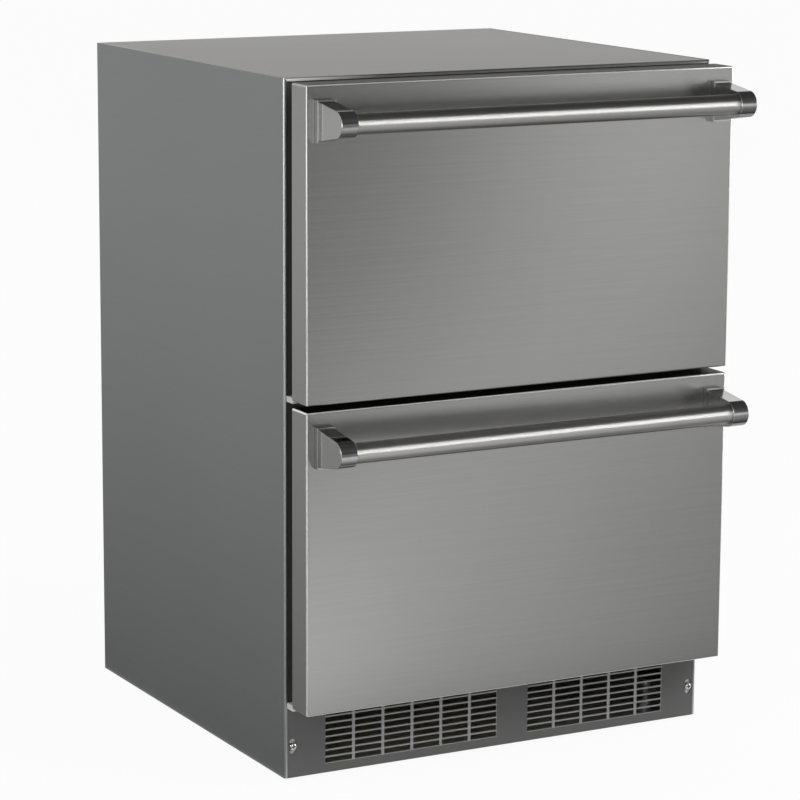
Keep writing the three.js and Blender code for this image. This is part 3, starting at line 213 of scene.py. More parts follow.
def brushed(colour, across, roughness, spread=0.8, about=Z_AXIS, upward=None,
            underside=None, hem_highlight=None):
    """Brushed steel: fine lines round one axis, faint longer streaks, and a soft cloud.

    Upward is a ramp of painted light from level normals to straight up, half being unchanged: a
    painted highlight on the top fold and painted shade on the narrow face behind it. On the fold
    to the left side it also paints a highlight low down that turns to painted shade high up.
    Underside darkens the normals that face down, painted shade. The hem highlight, two places in
    x, lightens forward faces towards the left between them and makes them less metallic: a painted
    highlight on the front hem.
    """
    finish = Finish(colour, roughness, metallic=1.0)

    def lines(crosswise, along, detail):
        """Noise that is fine across the brushing and long along it."""
        scale = [crosswise if axis in across else along for axis in range(3)]
        return finish.noise(scale, detail, sharp=0.6)

    fine, streaks = lines(2400, 9, 2.0), lines(420, 2.5, 3.0)
    levels = [
        finish.ranged(fine, 0.965, 1.035),
        finish.ranged(streaks, 0.985, 1.015),
        finish.ranged(finish.noise(3.0), 0.98, 1.02),
    ]
    if upward:
        # Painted light on the top fold: brighter and less metallic there, a painted highlight, and
        # darker on the narrow top face, painted shade.
        turn_up = finish.ramp(finish.facing(Z_AXIS), upward)
        finish.put("Specular Tint", finish.ranged(turn_up, 0.3, 1, upward[-1][1], 0.5))
        finish.put("Metallic", finish.ranged(turn_up, 1.0, 0.62, 0.55, 0.95))
        # Painted light on the fold to the left side: brighter low down, a painted highlight, and
        # darker high up, painted shade.
        aside = finish.ranged(finish.facing(X_AXIS), 0, 1, 0, -1)
        painted_light = finish.ranged(finish.at(Z_AXIS), 2.0, 0.5, 0.35, 0.85)
        feeds = {"Factor": finish.ramp(aside, SIDE_FOLD), "A": 1.0, "B": painted_light}
        on_fold = finish.node("ShaderNodeMix", feeds).outputs["Result"]
        levels += [finish.ranged(turn_up, 0, 2, 0, 1), on_fold]
    if underside:
        # Painted shade on the normals that face down.
        levels.append(finish.shaded_below(*underside))
    if hem_highlight:
        # Painted highlight on the front hem: forward faces towards the left are lightened and made
        # less metallic.
        by_corner = finish.times(
            finish.ranged(finish.facing(Y_AXIS), 1.0, 0.0, -0.9, -0.5),
            finish.ranged(finish.at(X_AXIS), 1.0, 0.0, *hem_highlight))
        levels.append(finish.ranged(by_corner, 1.0, 1.7, 0, 1))
        finish.put("Metallic", finish.ranged(by_corner, 1.0, 0.25, 0, 1))
    finish.shade(*levels)
    finish.roughen(streaks, 0.93, 1.07)
    finish.grain(spread, about)
    finish.bump(fine, 0.000006)
    return finish.material


def polished(colour, roughness, underside=None):
    finish = Finish(colour, roughness, metallic=1.0)
    wiped = finish.noise((90, 90, 30), 4.0, 0.6)
    levels = [finish.ranged(wiped, 0.96, 1.03)]
    if underside:
        # Painted shade on the normals that face down.
        levels.append(finish.shaded_below(*underside))
    finish.shade(*levels)
    finish.roughen(wiped, 0.7, 1.5)
    return finish.material


def zinc(colour):
    """Zinc-coated sheet: small crystals of slightly different grey."""
    finish = Finish(colour, 0.42, metallic=0.75)
    crystals = finish.node("ShaderNodeTexVoronoi", {"Vector": finish.stretched(130)})
    cells = finish.part(crystals.outputs["Color"], X_AXIS)
    cloud = finish.noise(9, 3.0)
    finish.shade(finish.ranged(cells, 0.9, 1.08, 0, 1), finish.ranged(cloud, 0.94, 1.05))
    finish.put("Roughness", finish.ranged(cells, 0.34, 0.5, 0, 1))
    finish.bump(cells, 0.00003)
    return finish.material


def moulded(colour, roughness, pebble=0.00004, painted_light_levels=None):
    """Moulded plastic or satin paint: a fine leathery pebble, a faint cloud, and any painted light
    and shade that is given.
    """
    finish = Finish(colour, roughness)
    pebbles = finish.noise(900)
    # Painted light and shade, where given, multiply the colour.
    painted_light = painted_light_levels(finish) if painted_light_levels else []
    finish.shade(finish.ranged(finish.noise(14, 3.0), 0.97, 1.03), *painted_light)
    finish.roughen(pebbles, 0.88, 1.12)
    finish.bump(pebbles, pebble)
    return finish.material


def grille_painted_light(finish):
    """Painted highlight on the narrow bars between the slots, and painted shade in the top fold
    under the drawer front.
    """
    # The bars between the slots are lightened 3.3 times, a painted highlight; the top fold is
    # darkened, painted shade.
    lip, fold_height, bar_highlight, fold_shade = 0.9, 8.0, 3.3, 0.3
    bottom = FIRST_SLOT_Z - SLOT_SIZE[1] / 2 - lip
    top = FIRST_SLOT_Z + (SLOT_ROWS - 1) * SLOT_PITCH[1] + SLOT_SIZE[1] / 2
    x, z = finish.at(X_AXIS), finish.at(Z_AXIS)

    def between(value, low, high):
        return finish.math("COMPARE", value, (low + high) / 2 * MM, (high - low) / 2 * MM)

    levels = []
    for first_x, columns in SLOT_FIELDS:
        reach = SLOT_SIZE[0] / 2 + 0.3
        last_x = first_x + (columns - 1) * SLOT_PITCH[0]
        beside = between(x, first_x - reach, last_x + reach)
        for low, high, level in ((bottom, top, bar_highlight), (top, top + fold_height, fold_shade)):
            inside = finish.times(beside, between(z, low, high))
            levels.append(finish.ranged(inside, 1.0, level, 0, 1))
    return levels


def foam(colour):
    finish = Finish(colour, 0.85)
    cells = finish.noise(260, 4.0, 0.65)
    cloud = finish.noise(11, 3.0)
    finish.shade(finish.ranged(cells, 0.9, 1.06), finish.ranged(cloud, 0.92, 1.05))
    finish.bump(cells, 0.0004)
    return finish.material


def rubber(colour):
    finish = Finish(colour, 0.55)
    ribs = finish.noise(500, 3.0)
    finish.shade(finish.ranged(ribs, 0.85, 1.2))
    finish.put("Roughness", finish.ranged(ribs, 0.45, 0.65))
    finish.bump(ribs, 0.00004)
    return finish.material


def bare_metal(colour, roughness):
    finish = Finish(colour, roughness, metallic=1.0)
    drawn = finish.noise(220, 4.0, 0.65)
    cloud = finish.noise(25, 3.0)
    finish.shade(finish.ranged(drawn, 0.92, 1.06), finish.ranged(cloud, 0.88, 1.06))
    finish.roughen(cloud, 0.7, 1.3)
    finish.bump(drawn, 0.00002)
    return finish.material


FINISHES = {
    # The fronts' folds get painted highlights and painted shade.
    "brushed_front_steel": brushed(
        (0.46, 0.46, 0.452), (Z_AXIS,), 0.22, upward=FOLDED_EDGE),
    # The shell is the same stainless steel as the fronts, given a darker colour: painted shade.
    "brushed_shell_steel": brushed((0.36, 0.365, 0.368), (Z_AXIS,), 0.3),
    # The top's front hem gets a painted highlight towards the left.
    "brushed_top_steel": brushed(
        (0.46, 0.452, 0.436), (Y_AXIS, Z_AXIS), 0.32, hem_highlight=(-0.29, -0.17)),
    # The bar steel and the polished metal get painted shade on faces turned down.
    "handle_bar_steel": brushed(
        (0.64, 0.634, 0.617), (X_AXIS,), 0.38, 0.95, X_AXIS, underside=(0.42, -0.8, -0.05)),
    "polished_metal": polished((0.5, 0.5, 0.495), 0.08, underside=(0.42, -0.55, -0.05)),
    # The grille gets a painted highlight on its bars and painted shade in its top fold.
    "grille_steel": moulded((0.092, 0.092, 0.091), 0.35, painted_light_levels=grille_painted_light),
    "screw_steel": polished((0.5, 0.5, 0.48), 0.15),
    "galvanised_steel": zinc((0.4, 0.41, 0.42)),
    "gasket_rubber": rubber((0.025, 0.025, 0.024)),
    "panel_plastic": moulded((0.57, 0.57, 0.55), 0.42),
    "liner_plastic": moulded((0.72, 0.72, 0.7), 0.3),
    "insulating_foam": foam((0.8, 0.7, 0.37)),
    "frame_paint": moulded((0.045, 0.046, 0.046), 0.38),
    "tub_metal": moulded((0.47, 0.475, 0.47), 0.33),
    "black_plastic": moulded((0.015, 0.015, 0.016), 0.4),
    "smoked_lens": moulded((0.01, 0.013, 0.016), 0.08, 0.000002),
    "light_diffuser": moulded((0.88, 0.88, 0.84), 0.5),
    "button_plastic": moulded((0.68, 0.68, 0.65), 0.4),
    "fin_aluminium": bare_metal((0.5, 0.51, 0.52), 0.35),
    "compressor_paint": moulded((0.01, 0.011, 0.012), 0.3, 0.00006),
    "tray_plastic": moulded((0.03, 0.033, 0.037), 0.45),
    "copper_pipe": bare_metal((0.46, 0.15, 0.06), 0.28),
}
for slot_name, material in FINISHES.items():
    material.name = slot_name
SLOT_OF = {part["node"]: part["material_slot"] for part in frame["record"]["subparts"]}
for node_name, solid in solids.items():
    for held in solid.material_slots:
        held.link = "OBJECT"
        held.material = FINISHES[SLOT_OF[node_name]]


# ---- shapes
# Shapes are made in millimetres, with y measured from the cabinet's front plane, and are put into
# the frame's metres as they become pieces.

FRONT_PLANE = -0.21855
TO_FRAME = Matrix.Translation((0, FRONT_PLANE, 0)) @ Matrix.Scale(MM, 4)
FROM_FRAME = TO_FRAME.inverted()


def box_of(node):
    """A solid's lowest and highest corners in the same millimetres."""
    return tuple(FROM_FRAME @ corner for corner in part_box(node))


def middle_of(node, axis):
    """The middle of a solid's box in the two directions beside an axis."""
    low, high = box_of(node)
    return [(low[a] + high[a]) / 2 for a in range(3) if a != axis]


def point_on(axis, along, u, v):
    """A point from its place along one axis and its places in the other two."""
    point = [u, v]
    point.insert(axis, along)
    return point


def mesh_of(shape):
    """A shape as a mesh; a mesh stays what it is."""
    if isinstance(shape, bpy.types.Mesh):
        return shape
    mesh = bpy.data.meshes.new("shape")
    shape.to_mesh(mesh)
    shape.free()
    return mesh


def merged(*shapes):
    """Several shapes or meshes as one shape."""
    whole = bmesh.new()
    for shape in shapes:
        whole.from_mesh(mesh_of(shape))
    return whole


def linked(name, mesh):
    made = bpy.data.objects.new(name, mesh)
    bpy.context.scene.collection.objects.link(made)
    return made


def modified(mesh, kind, inputs=(), **settings):
    """The mesh that one modifier makes of another."""
    holder = linked("holder", mesh)
    modifier = holder.modifiers.new("change", kind)
    for key, value in settings.items():
        setattr(modifier, key, value)
    for identifier, value in inputs:
        modifier[identifier] = value
    graph = bpy.context.evaluated_depsgraph_get()
    result = bpy.data.meshes.new_from_object(holder.evaluated_get(graph), depsgraph=graph)
    bpy.data.objects.remove(holder)
    return result


def lofted(rings, looped=False):
    """Skin through rings of points, with tips or flat faces as its ends, or closed into a loop."""
    shape = bmesh.new()
    levels = [[shape.verts.new(point) for point in ring] for ring in rings]
    for low, high in zip(levels, levels[1:] + levels[:1] * looped):
        count = max(len(low), len(high))
        for i, j in ((i, (i + 1) % count) for i in range(count)):
            if len(low) == 1:
                corners = low[0], high[i], high[j]
            elif len(high) == 1:
                corners = low[i], low[j], high[0]
            else:
                corners = low[i], low[j], high[j], high[i]
            shape.faces.new(corners)
    for end in (levels[0], levels[-1]):
        if len(end) > 1 and not looped:
            shape.faces.new(end)
    bmesh.ops.recalc_face_normals(shape, faces=shape.faces)
    return shape


def prism(outline, axis, start, stop):
    """Closed prism: a flat outline in the other two axes, run along one axis."""
    return lofted([[point_on(axis, along, u, v) for u, v in outline] for along in (start, stop)])


def block(low, high, axis=X_AXIS):
    """A box between two corners, as a prism along one axis."""
    (u0, v0), (u1, v1) = ([c for a, c in enumerate(end) if a != axis] for end in (low, high))
    return prism([(u0, v0), (u1, v0), (u1, v1), (u0, v1)], axis, low[axis], high[axis])


def arc(centre, radius, start, stop, steps=8):
    """Points on an arc, angles in degrees."""
    angles = (math.radians(start + (stop - start) * i / steps) for i in range(steps + 1))
    return [(centre[0] + radius * math.cos(a), centre[1] + radius * math.sin(a)) for a in angles]


def rounded(half_u, half_v, radius, steps=5):
    """Rounded rectangle about the origin, as points."""
    points = []
    for turn, (su, sv) in enumerate(QUARTERS):
        centre = (su * (half_u - radius), sv * (half_v - radius))
        points += arc(centre, radius, 90 * turn, 90 * turn + 90, steps)
    return points


def turned(profile, axis, centre=(0, 0), steps=48):
    """Closed solid of revolution: (radius, place along the axis) points, ends on the axis."""
    return lofted([
        [point_on(axis, along, u, v)
         for u, v in arc(centre, radius, 0, 360, steps)[:-1 if radius > 0 else 1]]
        for radius, along in profile])


def smooth_route(points, bend, steps=7):
    """A route through corner points whose corners are eased over a bend length."""
    corners = [Vector(p) for p in points]
    route = [corners[0]]
    for before, corner, after in zip(corners, corners[1:], corners[2:]):
        start = corner + (before - corner).normalized() * bend
        stop = corner + (after - corner).normalized() * bend
        for t in (i / steps for i in range(steps + 1)):
            route.append(start * (1 - t) ** 2 + corner * 2 * t * (1 - t) + stop * t * t)
    route.append(corners[-1])
    return route


def tube(points, radius, bend=14.0, steps=24):
    """Round rod along a route."""
    route = smooth_route(points, bend)
    side = None
    rings = []
    for i, place in enumerate(route):
        ahead = (route[min(i + 1, len(route) - 1)] - route[max(i - 1, 0)]).normalized()
        if side is None:
            side = ahead.orthogonal().normalized()
        side = (side - ahead * side.dot(ahead)).normalized()
        other = ahead.cross(side)
        rings.append([
            place + radius * (math.cos(a) * side + math.sin(a) * other)
            for a in (2 * math.pi * k / steps for k in range(steps))])
    return lofted(rings)


def eased(shape, width, segments=2):
    """The mesh with its sharp edges rounded."""
    return modified(
        mesh_of(shape), "BEVEL", width=width, segments=segments, limit_method="ANGLE",
        angle_limit=math.radians(35), miter_outer="MITER_ARC")


def piece_from(name, shape, node=None, slot=None, smooth=40):
    """Puts a shape made in millimetres into the frame as a finished piece.

    It takes the slot and the body of the solid that it replaces. One that replaces none is given
    its slot and rides on the cabinet.
    """
    slot = slot or SLOT_OF[node]
    body = solids[node]["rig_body"] if node else "cabinet"
    mesh = mesh_of(shape)
    mesh.transform(TO_FRAME)
    for face in mesh.polygons:
        face.use_smooth = True
    mesh.set_sharp_from_angle(angle=math.radians(smooth))
    mesh = modified(mesh, "WEIGHTED_NORMAL", keep_sharp=True)
    mesh.name = name
    mesh.materials.clear()
    mesh.materials.append(FINISHES[slot])
    piece = linked(name, mesh)
    if node:
        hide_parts(node)
    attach(piece, body)


def turned_piece(name, node, profile, axis, steps=48, smooth=40):
    """A piece turned about the middle of the solid that it replaces."""
    piece_from(name, turned(profile, axis, middle_of(node, axis), steps), node, smooth=smooth)


# ---- repeats


class Pattern(Nodes):
    """A Geometry Nodes tree that sets copies of one unit by a rule, from named sizes."""

    def __init__(self, name, **sizes):
        super().__init__(bpy.data.node_groups.new(name, "GeometryNodeTree"))
        face = self.tree.interface
        sizes = {"Geometry": "Geometry", "Unit": "Object", **sizes, "Material": "Material"}
        for label, kind in sizes.items():
            face.new_socket(name=label, in_out="INPUT", socket_type="NodeSocket" + kind)
        face.new_socket(name="Geometry", in_out="OUTPUT", socket_type="NodeSocketGeometry")
        self.sizes = self.node("NodeGroupInput").outputs
        self.exit = self.node("NodeGroupOutput")
        self.index = self.node("GeometryNodeInputIndex").outputs["Index"]

    def copies(self, places, **turn):
        """One real copy of the unit at each place."""
        unit = self.node("GeometryNodeObjectInfo", {"Object": self.sizes["Unit"]})
        points = self.node("GeometryNodePoints", places)
        feeds = {"Points": points.outputs[0], "Instance": unit.outputs["Geometry"], **turn}
        put = self.node("GeometryNodeInstanceOnPoints", feeds)
        return self.node("GeometryNodeRealizeInstances", put.outputs[:1]).outputs["Geometry"]

    def finish(self, geometry):
        feeds = {"Geometry": geometry, "Material": self.sizes["Material"]}
        coloured = self.node("GeometryNodeSetMaterial", feeds)
        self.feed(self.exit.inputs["Geometry"], coloured.outputs["Geometry"])
        return self

    def run(self, unit, slot, base=None, **sizes):
        """The mesh that the tree makes of a unit, and of a base where it cuts one."""
        holder = linked("unit", mesh_of(unit))
        sizes.update(Unit=holder, Material=FINISHES[slot])
        inputs = [
            (item.identifier, sizes[item.name]) for item in self.tree.interface.items_tree
            if item.in_out == "INPUT" and item.name in sizes]
        base = bpy.data.meshes.new("empty") if base is None else mesh_of(base)
        result = modified(base, "NODES", inputs, node_group=self.tree)
        bpy.data.objects.remove(holder)
        return result


def grid(name, punched=False):
    """Copies in columns and rows: start + column * across + row * up.

    Punched, the base mesh has the unit cut out of it at each of these places instead.
    """
    pattern = Pattern(
        name, Columns="Int", Rows="Int", Start="Vector", Across="Vector", Up="Vector")
    columns = pattern.sizes["Columns"]
    count = pattern.math("MULTIPLY", columns, pattern.sizes["Rows"])
    column = pattern.math("MODULO", pattern.index, columns)
    row = pattern.math("FLOOR", pattern.math("DIVIDE", pattern.index, columns))
    place = pattern.sizes["Start"]
    for step, number in (("Across", column), ("Up", row)):
        place = pattern.vector("ADD", place, pattern.vector("SCALE", pattern.sizes[step], number))
    result = pattern.copies({"Count": count, "Position": place})
    if punched:
        feeds = {"Mesh 1": pattern.sizes["Geometry"], "Mesh 2": result}
        result = pattern.node(
            "GeometryNodeMeshBoolean", feeds, operation="DIFFERENCE", solver="EXACT",
        ).outputs["Mesh"]
    return pattern.finish(result)


def ring(name):
    """Copies turned round an axis through a centre."""
    pattern = Pattern(name, Count="Int", Centre="Vector", Axis="Vector")
    count, centre, axis = (pattern.sizes[label] for label in ("Count", "Centre", "Axis"))
    step = pattern.math("DIVIDE", 2 * math.pi, count)
    angle = pattern.math("MULTIPLY", pattern.index, step)
    turn = pattern.vector("SCALE", axis, angle)
    return pattern.finish(
        pattern.copies({"Count": count, "Position": centre}, Rotation=turn))


GRID = grid("copies_in_rows")
PUNCHED = grid("punched_in_rows", punched=True)
RING = ring("copies_in_ring")


def in_rows(unit, slot, columns, rows, start, across=(0, 0, 0), up=(0, 0, 0), base=None):
    """Copies of a unit shape in a grid; with a base, the unit is cut out of it instead."""
    return (GRID if base is None else PUNCHED).run(
        unit, slot, base, Columns=columns, Rows=rows, Start=start, Across=across, Up=up)


# ---- sheet metal of the cabinet

SHEET = 1.5
SEAT = 0.3
STEEL = "galvanised_steel"


def flared_slot(width, height, corner, ease, depth, axis=Y_AXIS, facing=-1):
    """Cutter for a slot whose edges are eased where it enters the sheet at zero."""
    clear = 0.6
    return lofted([
        [point_on(axis, -facing * along, u, v)
         for u, v in rounded(width / 2 + grow, height / 2 + grow, corner + grow)]
        for along, grow in ((-clear, ease + clear), (ease, 0.0), (depth, 0.0))])


GRILLE_SCREW = (291.5, 45.0)


def toe_grille():
    low, high = box_of("toe_grille")
    bend = 2.0
    section = [(0.0, low.z), *arc((bend, high.z - bend), bend, 180, 90), (high.y, high.z)]
    section += [(high.y, high.z - SHEET), (SHEET, high.z - SHEET), (SHEET, low.z)]
    sheet = prism(section, X_AXIS, low.x, high.x)
    for first_x, columns in SLOT_FIELDS:
        sheet = in_rows(
            flared_slot(*SLOT_SIZE, 0.7, 0.5, 2.5), "grille_steel", columns, SLOT_ROWS,
            (first_x, 0, FIRST_SLOT_Z), (SLOT_PITCH[0], 0, 0), (0, 0, SLOT_PITCH[1]), sheet)
    x, z = GRILLE_SCREW
    screw_slot = flared_slot(8.6, 20, 4.2, 0.4, 2.5)
    sheet = in_rows(screw_slot, "grille_steel", 2, 1, (-x, 0, z), (2 * x, 0, 0), base=sheet)
    piece_from("toe_grille_sheet", sheet, "toe_grille")


def screw(radius, height, shank, length, facing=-1):
    """Pan-head screw on the y axis, its head standing on y = 0; facing is the head's side."""
    crown = [(0.0, 1.0), (0.45, 0.97), (0.78, 0.8), (0.95, 0.5), (1.0, 0.2), (1.0, 0.0)]
    profile = [(radius * r, facing * height * h) for r, h in crown]
    profile += [(shank, 0.0), (shank, -facing * (length - shank)), (0.0, -facing * length)]
    whole = turned(profile, Y_AXIS, steps=40)
    # The cross recess narrows as it goes in.
    half_width, reach, depth = radius * 0.13, radius * 0.62, height * 0.75
    for wide, tall in ((1, 0), (0, 1)):
        arm = lofted([
            [point_on(
                Y_AXIS, facing * (height - along),
                su * (reach * shrink if wide else half_width),
                sv * (reach * shrink if tall else half_width)) for su, sv in QUARTERS]
            for along, shrink in ((-1.0, 1.0), (depth, 0.45))])
        whole = in_rows(arm, "screw_steel", 1, 1, (0, 0, 0), base=whole)
    return whole


def grille_screws():
    x, z = GRILLE_SCREW
    for side, sign in SIDES:
        node = "grille_screw_" + side
        placed = in_rows(screw(4.8, 2.6, 2.1, 12), "screw_steel", 1, 1, (sign * x, 0, z))
        piece_from(node + "_head", placed, node)


LOUVRE_SIZE = (150.0, 5.0)
LOUVRE_STEP = (180.0, 16.0)
LOUVRE_ROWS = 9
LOUVRE_Z = 60.0
GLAND_PLACE = (268.0, 60.0)
GLAND_HOLE_RADIUS = 10.4


def rear_panel():
    low, high = box_of("rear_panel")
    width, height = LOUVRE_SIZE
    first_x = -LOUVRE_STEP[0] / 2
    steps = ((LOUVRE_STEP[0], 0, 0), (0, 0, LOUVRE_STEP[1]))
    slot = flared_slot(width, height, 1.0, 0.3, 2.5, facing=1)
    first = (first_x, high.y, LOUVRE_Z + height / 2)
    sheet = in_rows(slot, STEEL, 2, LOUVRE_ROWS, first, *steps, base=block(low, high))
    r = GLAND_HOLE_RADIUS
    hole = turned([(0, -3), (r, -3), (r, 3), (0, 3)], Y_AXIS)
    sheet = in_rows(hole, STEEL, 1, 1, (GLAND_PLACE[0], high.y, GLAND_PLACE[1]), base=sheet)
    hood_section = [
        (0.0, 6.4), (0.8, 5.9), (1.4, 4.6), (1.5, 1.4), (1.1, 1.4), (1.0, 4.2), (0.5, 5.1),
        (0.0, 5.4)]
    hood = prism(hood_section, X_AXIS, -width / 2, width / 2)
    hoods = in_rows(hood, STEEL, 2, LOUVRE_ROWS, (first_x, high.y, LOUVRE_Z), *steps)
    piece_from("rear_panel_louvred", merged(sheet, hoods), "rear_panel")
    edge_x = 294.0
    small = mesh_of(screw(3.6, 1.4, 1.4, 1.8, facing=1))
    sides = in_rows(
        small, "screw_steel", 2, 6, (-edge_x, high.y, 50), (2 * edge_x, 0, 0), (0, 0, 160))
    top = in_rows(small, "screw_steel", 4, 1, (-210, high.y, 852), (140, 0, 0))
    piece_from("rear_panel_screws", merged(sides, top), slot="screw_steel")


def leveling_legs():
    pad, pitch, root, crest = 4.7, 1.25, 4.45, 5.0
    for corner in CORNERS:
        node = "leveling_leg_" + corner
        top = box_of(node)[1].z
        profile = [(0, 0), (17.6, 0), (18.6, 0.4), (19, 1.2), (19, 3.4), (18.6, 4.2),
                   (17.6, pad), (9.0, pad), (crest, pad)]
        for i in range(int((top - pad - 2) / pitch)):
            z = pad + 0.3 + i * pitch
            profile += [(root, z), (crest, z + pitch / 2)]
        profile += [(4.4, top - 0.9), (3.6, top), (0, top)]
        turned_piece(node + "_turned", node, profile, Z_AXIS, 40, smooth=30)


# ---- handles


def handle_bars():
    ease = 0.6
    for level in LEVELS:
        node = level + "_handle_bar"
        low, high = box_of(node)
        radius = (high.z - low.z) / 2
        profile = [
            (0, low.x), (radius - ease, low.x), (radius, low.x + ease),
            (radius, high.x - ease), (radius - ease, high.x), (0, high.x)]
        turned_piece(node + "_turned", node, profile, X_AXIS, 96)


BAR_AXIS_Y = -110.0
ARM_ROOT_Y = -56.9
ARM_UP = 24.0
ARM_DOWN = 25.5
ARM_NOSE = 16.4
ARM_OUTER_X = 290.0
ARM_INNER_X = 267.5
FOOT_Y = -65.6
SOCKET_DEPTH = 4.0
SOCKET_RADIUS = 12.95


def arm_section(middle_z):
    """Side view of an arm: straight from its root to the round nose, and straight back."""
    reach = ARM_ROOT_Y - BAR_AXIS_Y
    first, last = (
        math.degrees(math.atan2(rise, reach) + math.acos(ARM_NOSE / math.hypot(reach, rise)))
        for rise in (ARM_UP, ARM_DOWN))
    nose = arc((BAR_AXIS_Y, middle_z), ARM_NOSE, first, 360 - last, 28)
    return [(ARM_ROOT_Y, middle_z + ARM_UP), *nose, (ARM_ROOT_Y, middle_z - ARM_DOWN)]


def handle_brackets():
    """Polished arms with a foot on the front and a socket that holds the bar's end."""
    for level in LEVELS:
        middle_z = middle_of(level + "_handle_bar", X_AXIS)[1]
        for side, sign in SIDES:
            node = "%s_handle_bracket_%s" % (level, side)
            low, high = box_of(node)
            near, far = sorted((sign * ARM_INNER_X, sign * ARM_OUTER_X))
            arm = eased(prism(arm_section(middle_z), X_AXIS, near, far), 0.7, 3)
            mouth = near - 1 if sign > 0 else far + 1
            end = sign * (ARM_INNER_X + SOCKET_DEPTH)
            bore = [(0, mouth), (SOCKET_RADIUS, mouth), (SOCKET_RADIUS, end), (0, end)]
            bore = turned(bore, X_AXIS, (BAR_AXIS_Y, middle_z), 64)
            arm = in_rows(bore, "polished_metal", 1, 1, (0, 0, 0), base=arm)
            foot = eased(block((low.x, FOOT_Y, low.z), high), 0.25)
            piece_from(node + "_polished", merged(arm, foot), node)


# ---- drawers


def gaskets():
    """Bellows sections swept round a rectangle with rounded corners."""
    half_section = [
        (0.0, -11.7), (0.0, -8.6), (1.0, -7.7), (3.2, -7.0), (3.1, -6.1), (1.3, -5.1),
        (3.1, -4.1), (3.2, -3.2), (1.0, -2.6), (0.0, -1.8), (0.0, 0.7), (0.7, 1.5)]
    width, corner = 14.0, 3.0
    section = half_section + [(width - u, y) for u, y in reversed(half_section)]
    for level in LEVELS:
        node = level + "_gasket"
        low, high = box_of(node)
        middle, half = (low.z + high.z) / 2, (high.z - low.z) / 2
        shape = lofted([
            [(u, y, middle + v) for u, v in rounded(
                high.x - inset, half - inset, max(corner - inset, 0.4))]
            for inset, y in section], looped=True)
        piece_from(node + "_bellows", shape, node, smooth=50)


def channel(web_x, flange_x, low_z, high_z, start, stop):
    """C section with its web at web_x and its flanges reaching to flange_x, run along y."""
    way, first = (1, 180) if flange_x > web_x else (-1, 0)
    inner = web_x + way * SHEET
    top, bottom = (
        arc((inner, z - up * SHEET), SHEET, first, first - way * up * 90, 5)
        for z, up in ((high_z, 1), (low_z, -1)))
    flanges = [(flange_x, high_z), (flange_x, high_z - SHEET), (inner, high_z - SHEET),
               (inner, low_z + SHEET), (flange_x, low_z + SHEET), (flange_x, low_z)]
    return prism(top + flanges + bottom[::-1], Y_AXIS, start, stop)


def runners():
    """Cabinet and middle members, with slots punched along their webs."""
    pitch, end_room, clear = 70, 50, 1.0
    for level in LEVELS:
        for side, sign in SIDES:
            for member in ("cabinet_runner", "middle_runner"):
                node = "%s_%s_%s" % (level, member, side)
                low, high = box_of(node)
                web, flange = (low.x, high.x) if sign < 0 else (high.x, low.x)
                rail = channel(web, flange, low.z, high.z, low.y, high.y)
                slot = flared_slot(26, 6, 2.9, 0.2, 4, axis=X_AXIS)
                slot.transform(Matrix.Translation((-clear, 0, 0)))
                count = int((high.y - low.y - 60) / pitch)
                first = (min(web, web - sign * SHEET), low.y + end_room, (low.z + high.z) / 2)
                rail = in_rows(slot, STEEL, count, 1, first, (0, pitch, 0), base=rail)
                piece_from(node + "_formed", rail, node)


def tub_shell(half_x, y0, y1, z0, z1, rim):
    """Pressed bin with rounded corners, and a rolled rim on all sides but the front."""
    wall = 2.0
    levels = [
        (-9.0, z0), (-5.0, z0 + 0.8), (-1.6, z0 + 3.4), (0, z0 + 8), (0, z1 - 5.2),
        (0.4, z1 - 3.6), (1.6, z1 - 2.6), (rim - 0.6, z1 - 2.4), (rim, z1 - 1.7),
        (rim, z1 - 0.8), (rim - 0.7, z1), (0.6, z1), (-1.2, z1 - 0.6), (-wall, z1 - 2.4),
        (-wall, z0 + 8.4), (-3.4, z0 + 4.8), (-6.2, z0 + 2.8), (-9.6, z0 + wall)]
    rings = []
    for grow, z in levels:
        near, far = y0 - min(grow, 0.0), y1 + grow
        outline = rounded(half_x + grow, (far - near) / 2, max(16 + grow, 3), 8)
        rings.append([(u, (near + far) / 2 + v, z) for u, v in outline])
    return lofted(rings)


def tubs():
    """Tubs with rows of vents, and the drawer's members of the runners on their sides."""
    rim, side_room, pitch, vent_drop = 5.0, 9.0, 34, 62
    rail_web, rail_edge, rail_half, rail_start = 258.2, 267.7, 18.5, 10.0
    for level in LEVELS:
        node = level + "_tub"
        low, high = box_of(node)
        half_x, y1 = high.x - side_room, high.y - rim
        tub = tub_shell(half_x, low.y, y1, low.z, high.z, rim)
        vents_z = high.z - vent_drop
        columns = int((y1 - low.y - 80) / pitch)
        for axis, facing, count, first, along in (
                (X_AXIS, -1, columns, (-half_x, low.y + 45, vents_z), (0, pitch, 0)),
                (X_AXIS, 1, columns, (half_x, low.y + 45, vents_z), (0, pitch, 0)),
                (Y_AXIS, 1, 13, (-204, y1, vents_z), (pitch, 0, 0))):
            hole = flared_slot(20, 5, 2.4, 0.5, 4, axis, facing)
            tub = in_rows(hole, "tub_metal", count, 2, first, along, (0, 0, 16), tub)
        middle = low.z + vent_drop
        rails = [
            channel(sign * rail_web, sign * rail_edge, middle - rail_half, middle + rail_half,
                    rail_start, y1) for sign in (-1, 1)]
        piece_from(node + "_pressed", merged(tub, *rails), node)


# ---- cooling unit


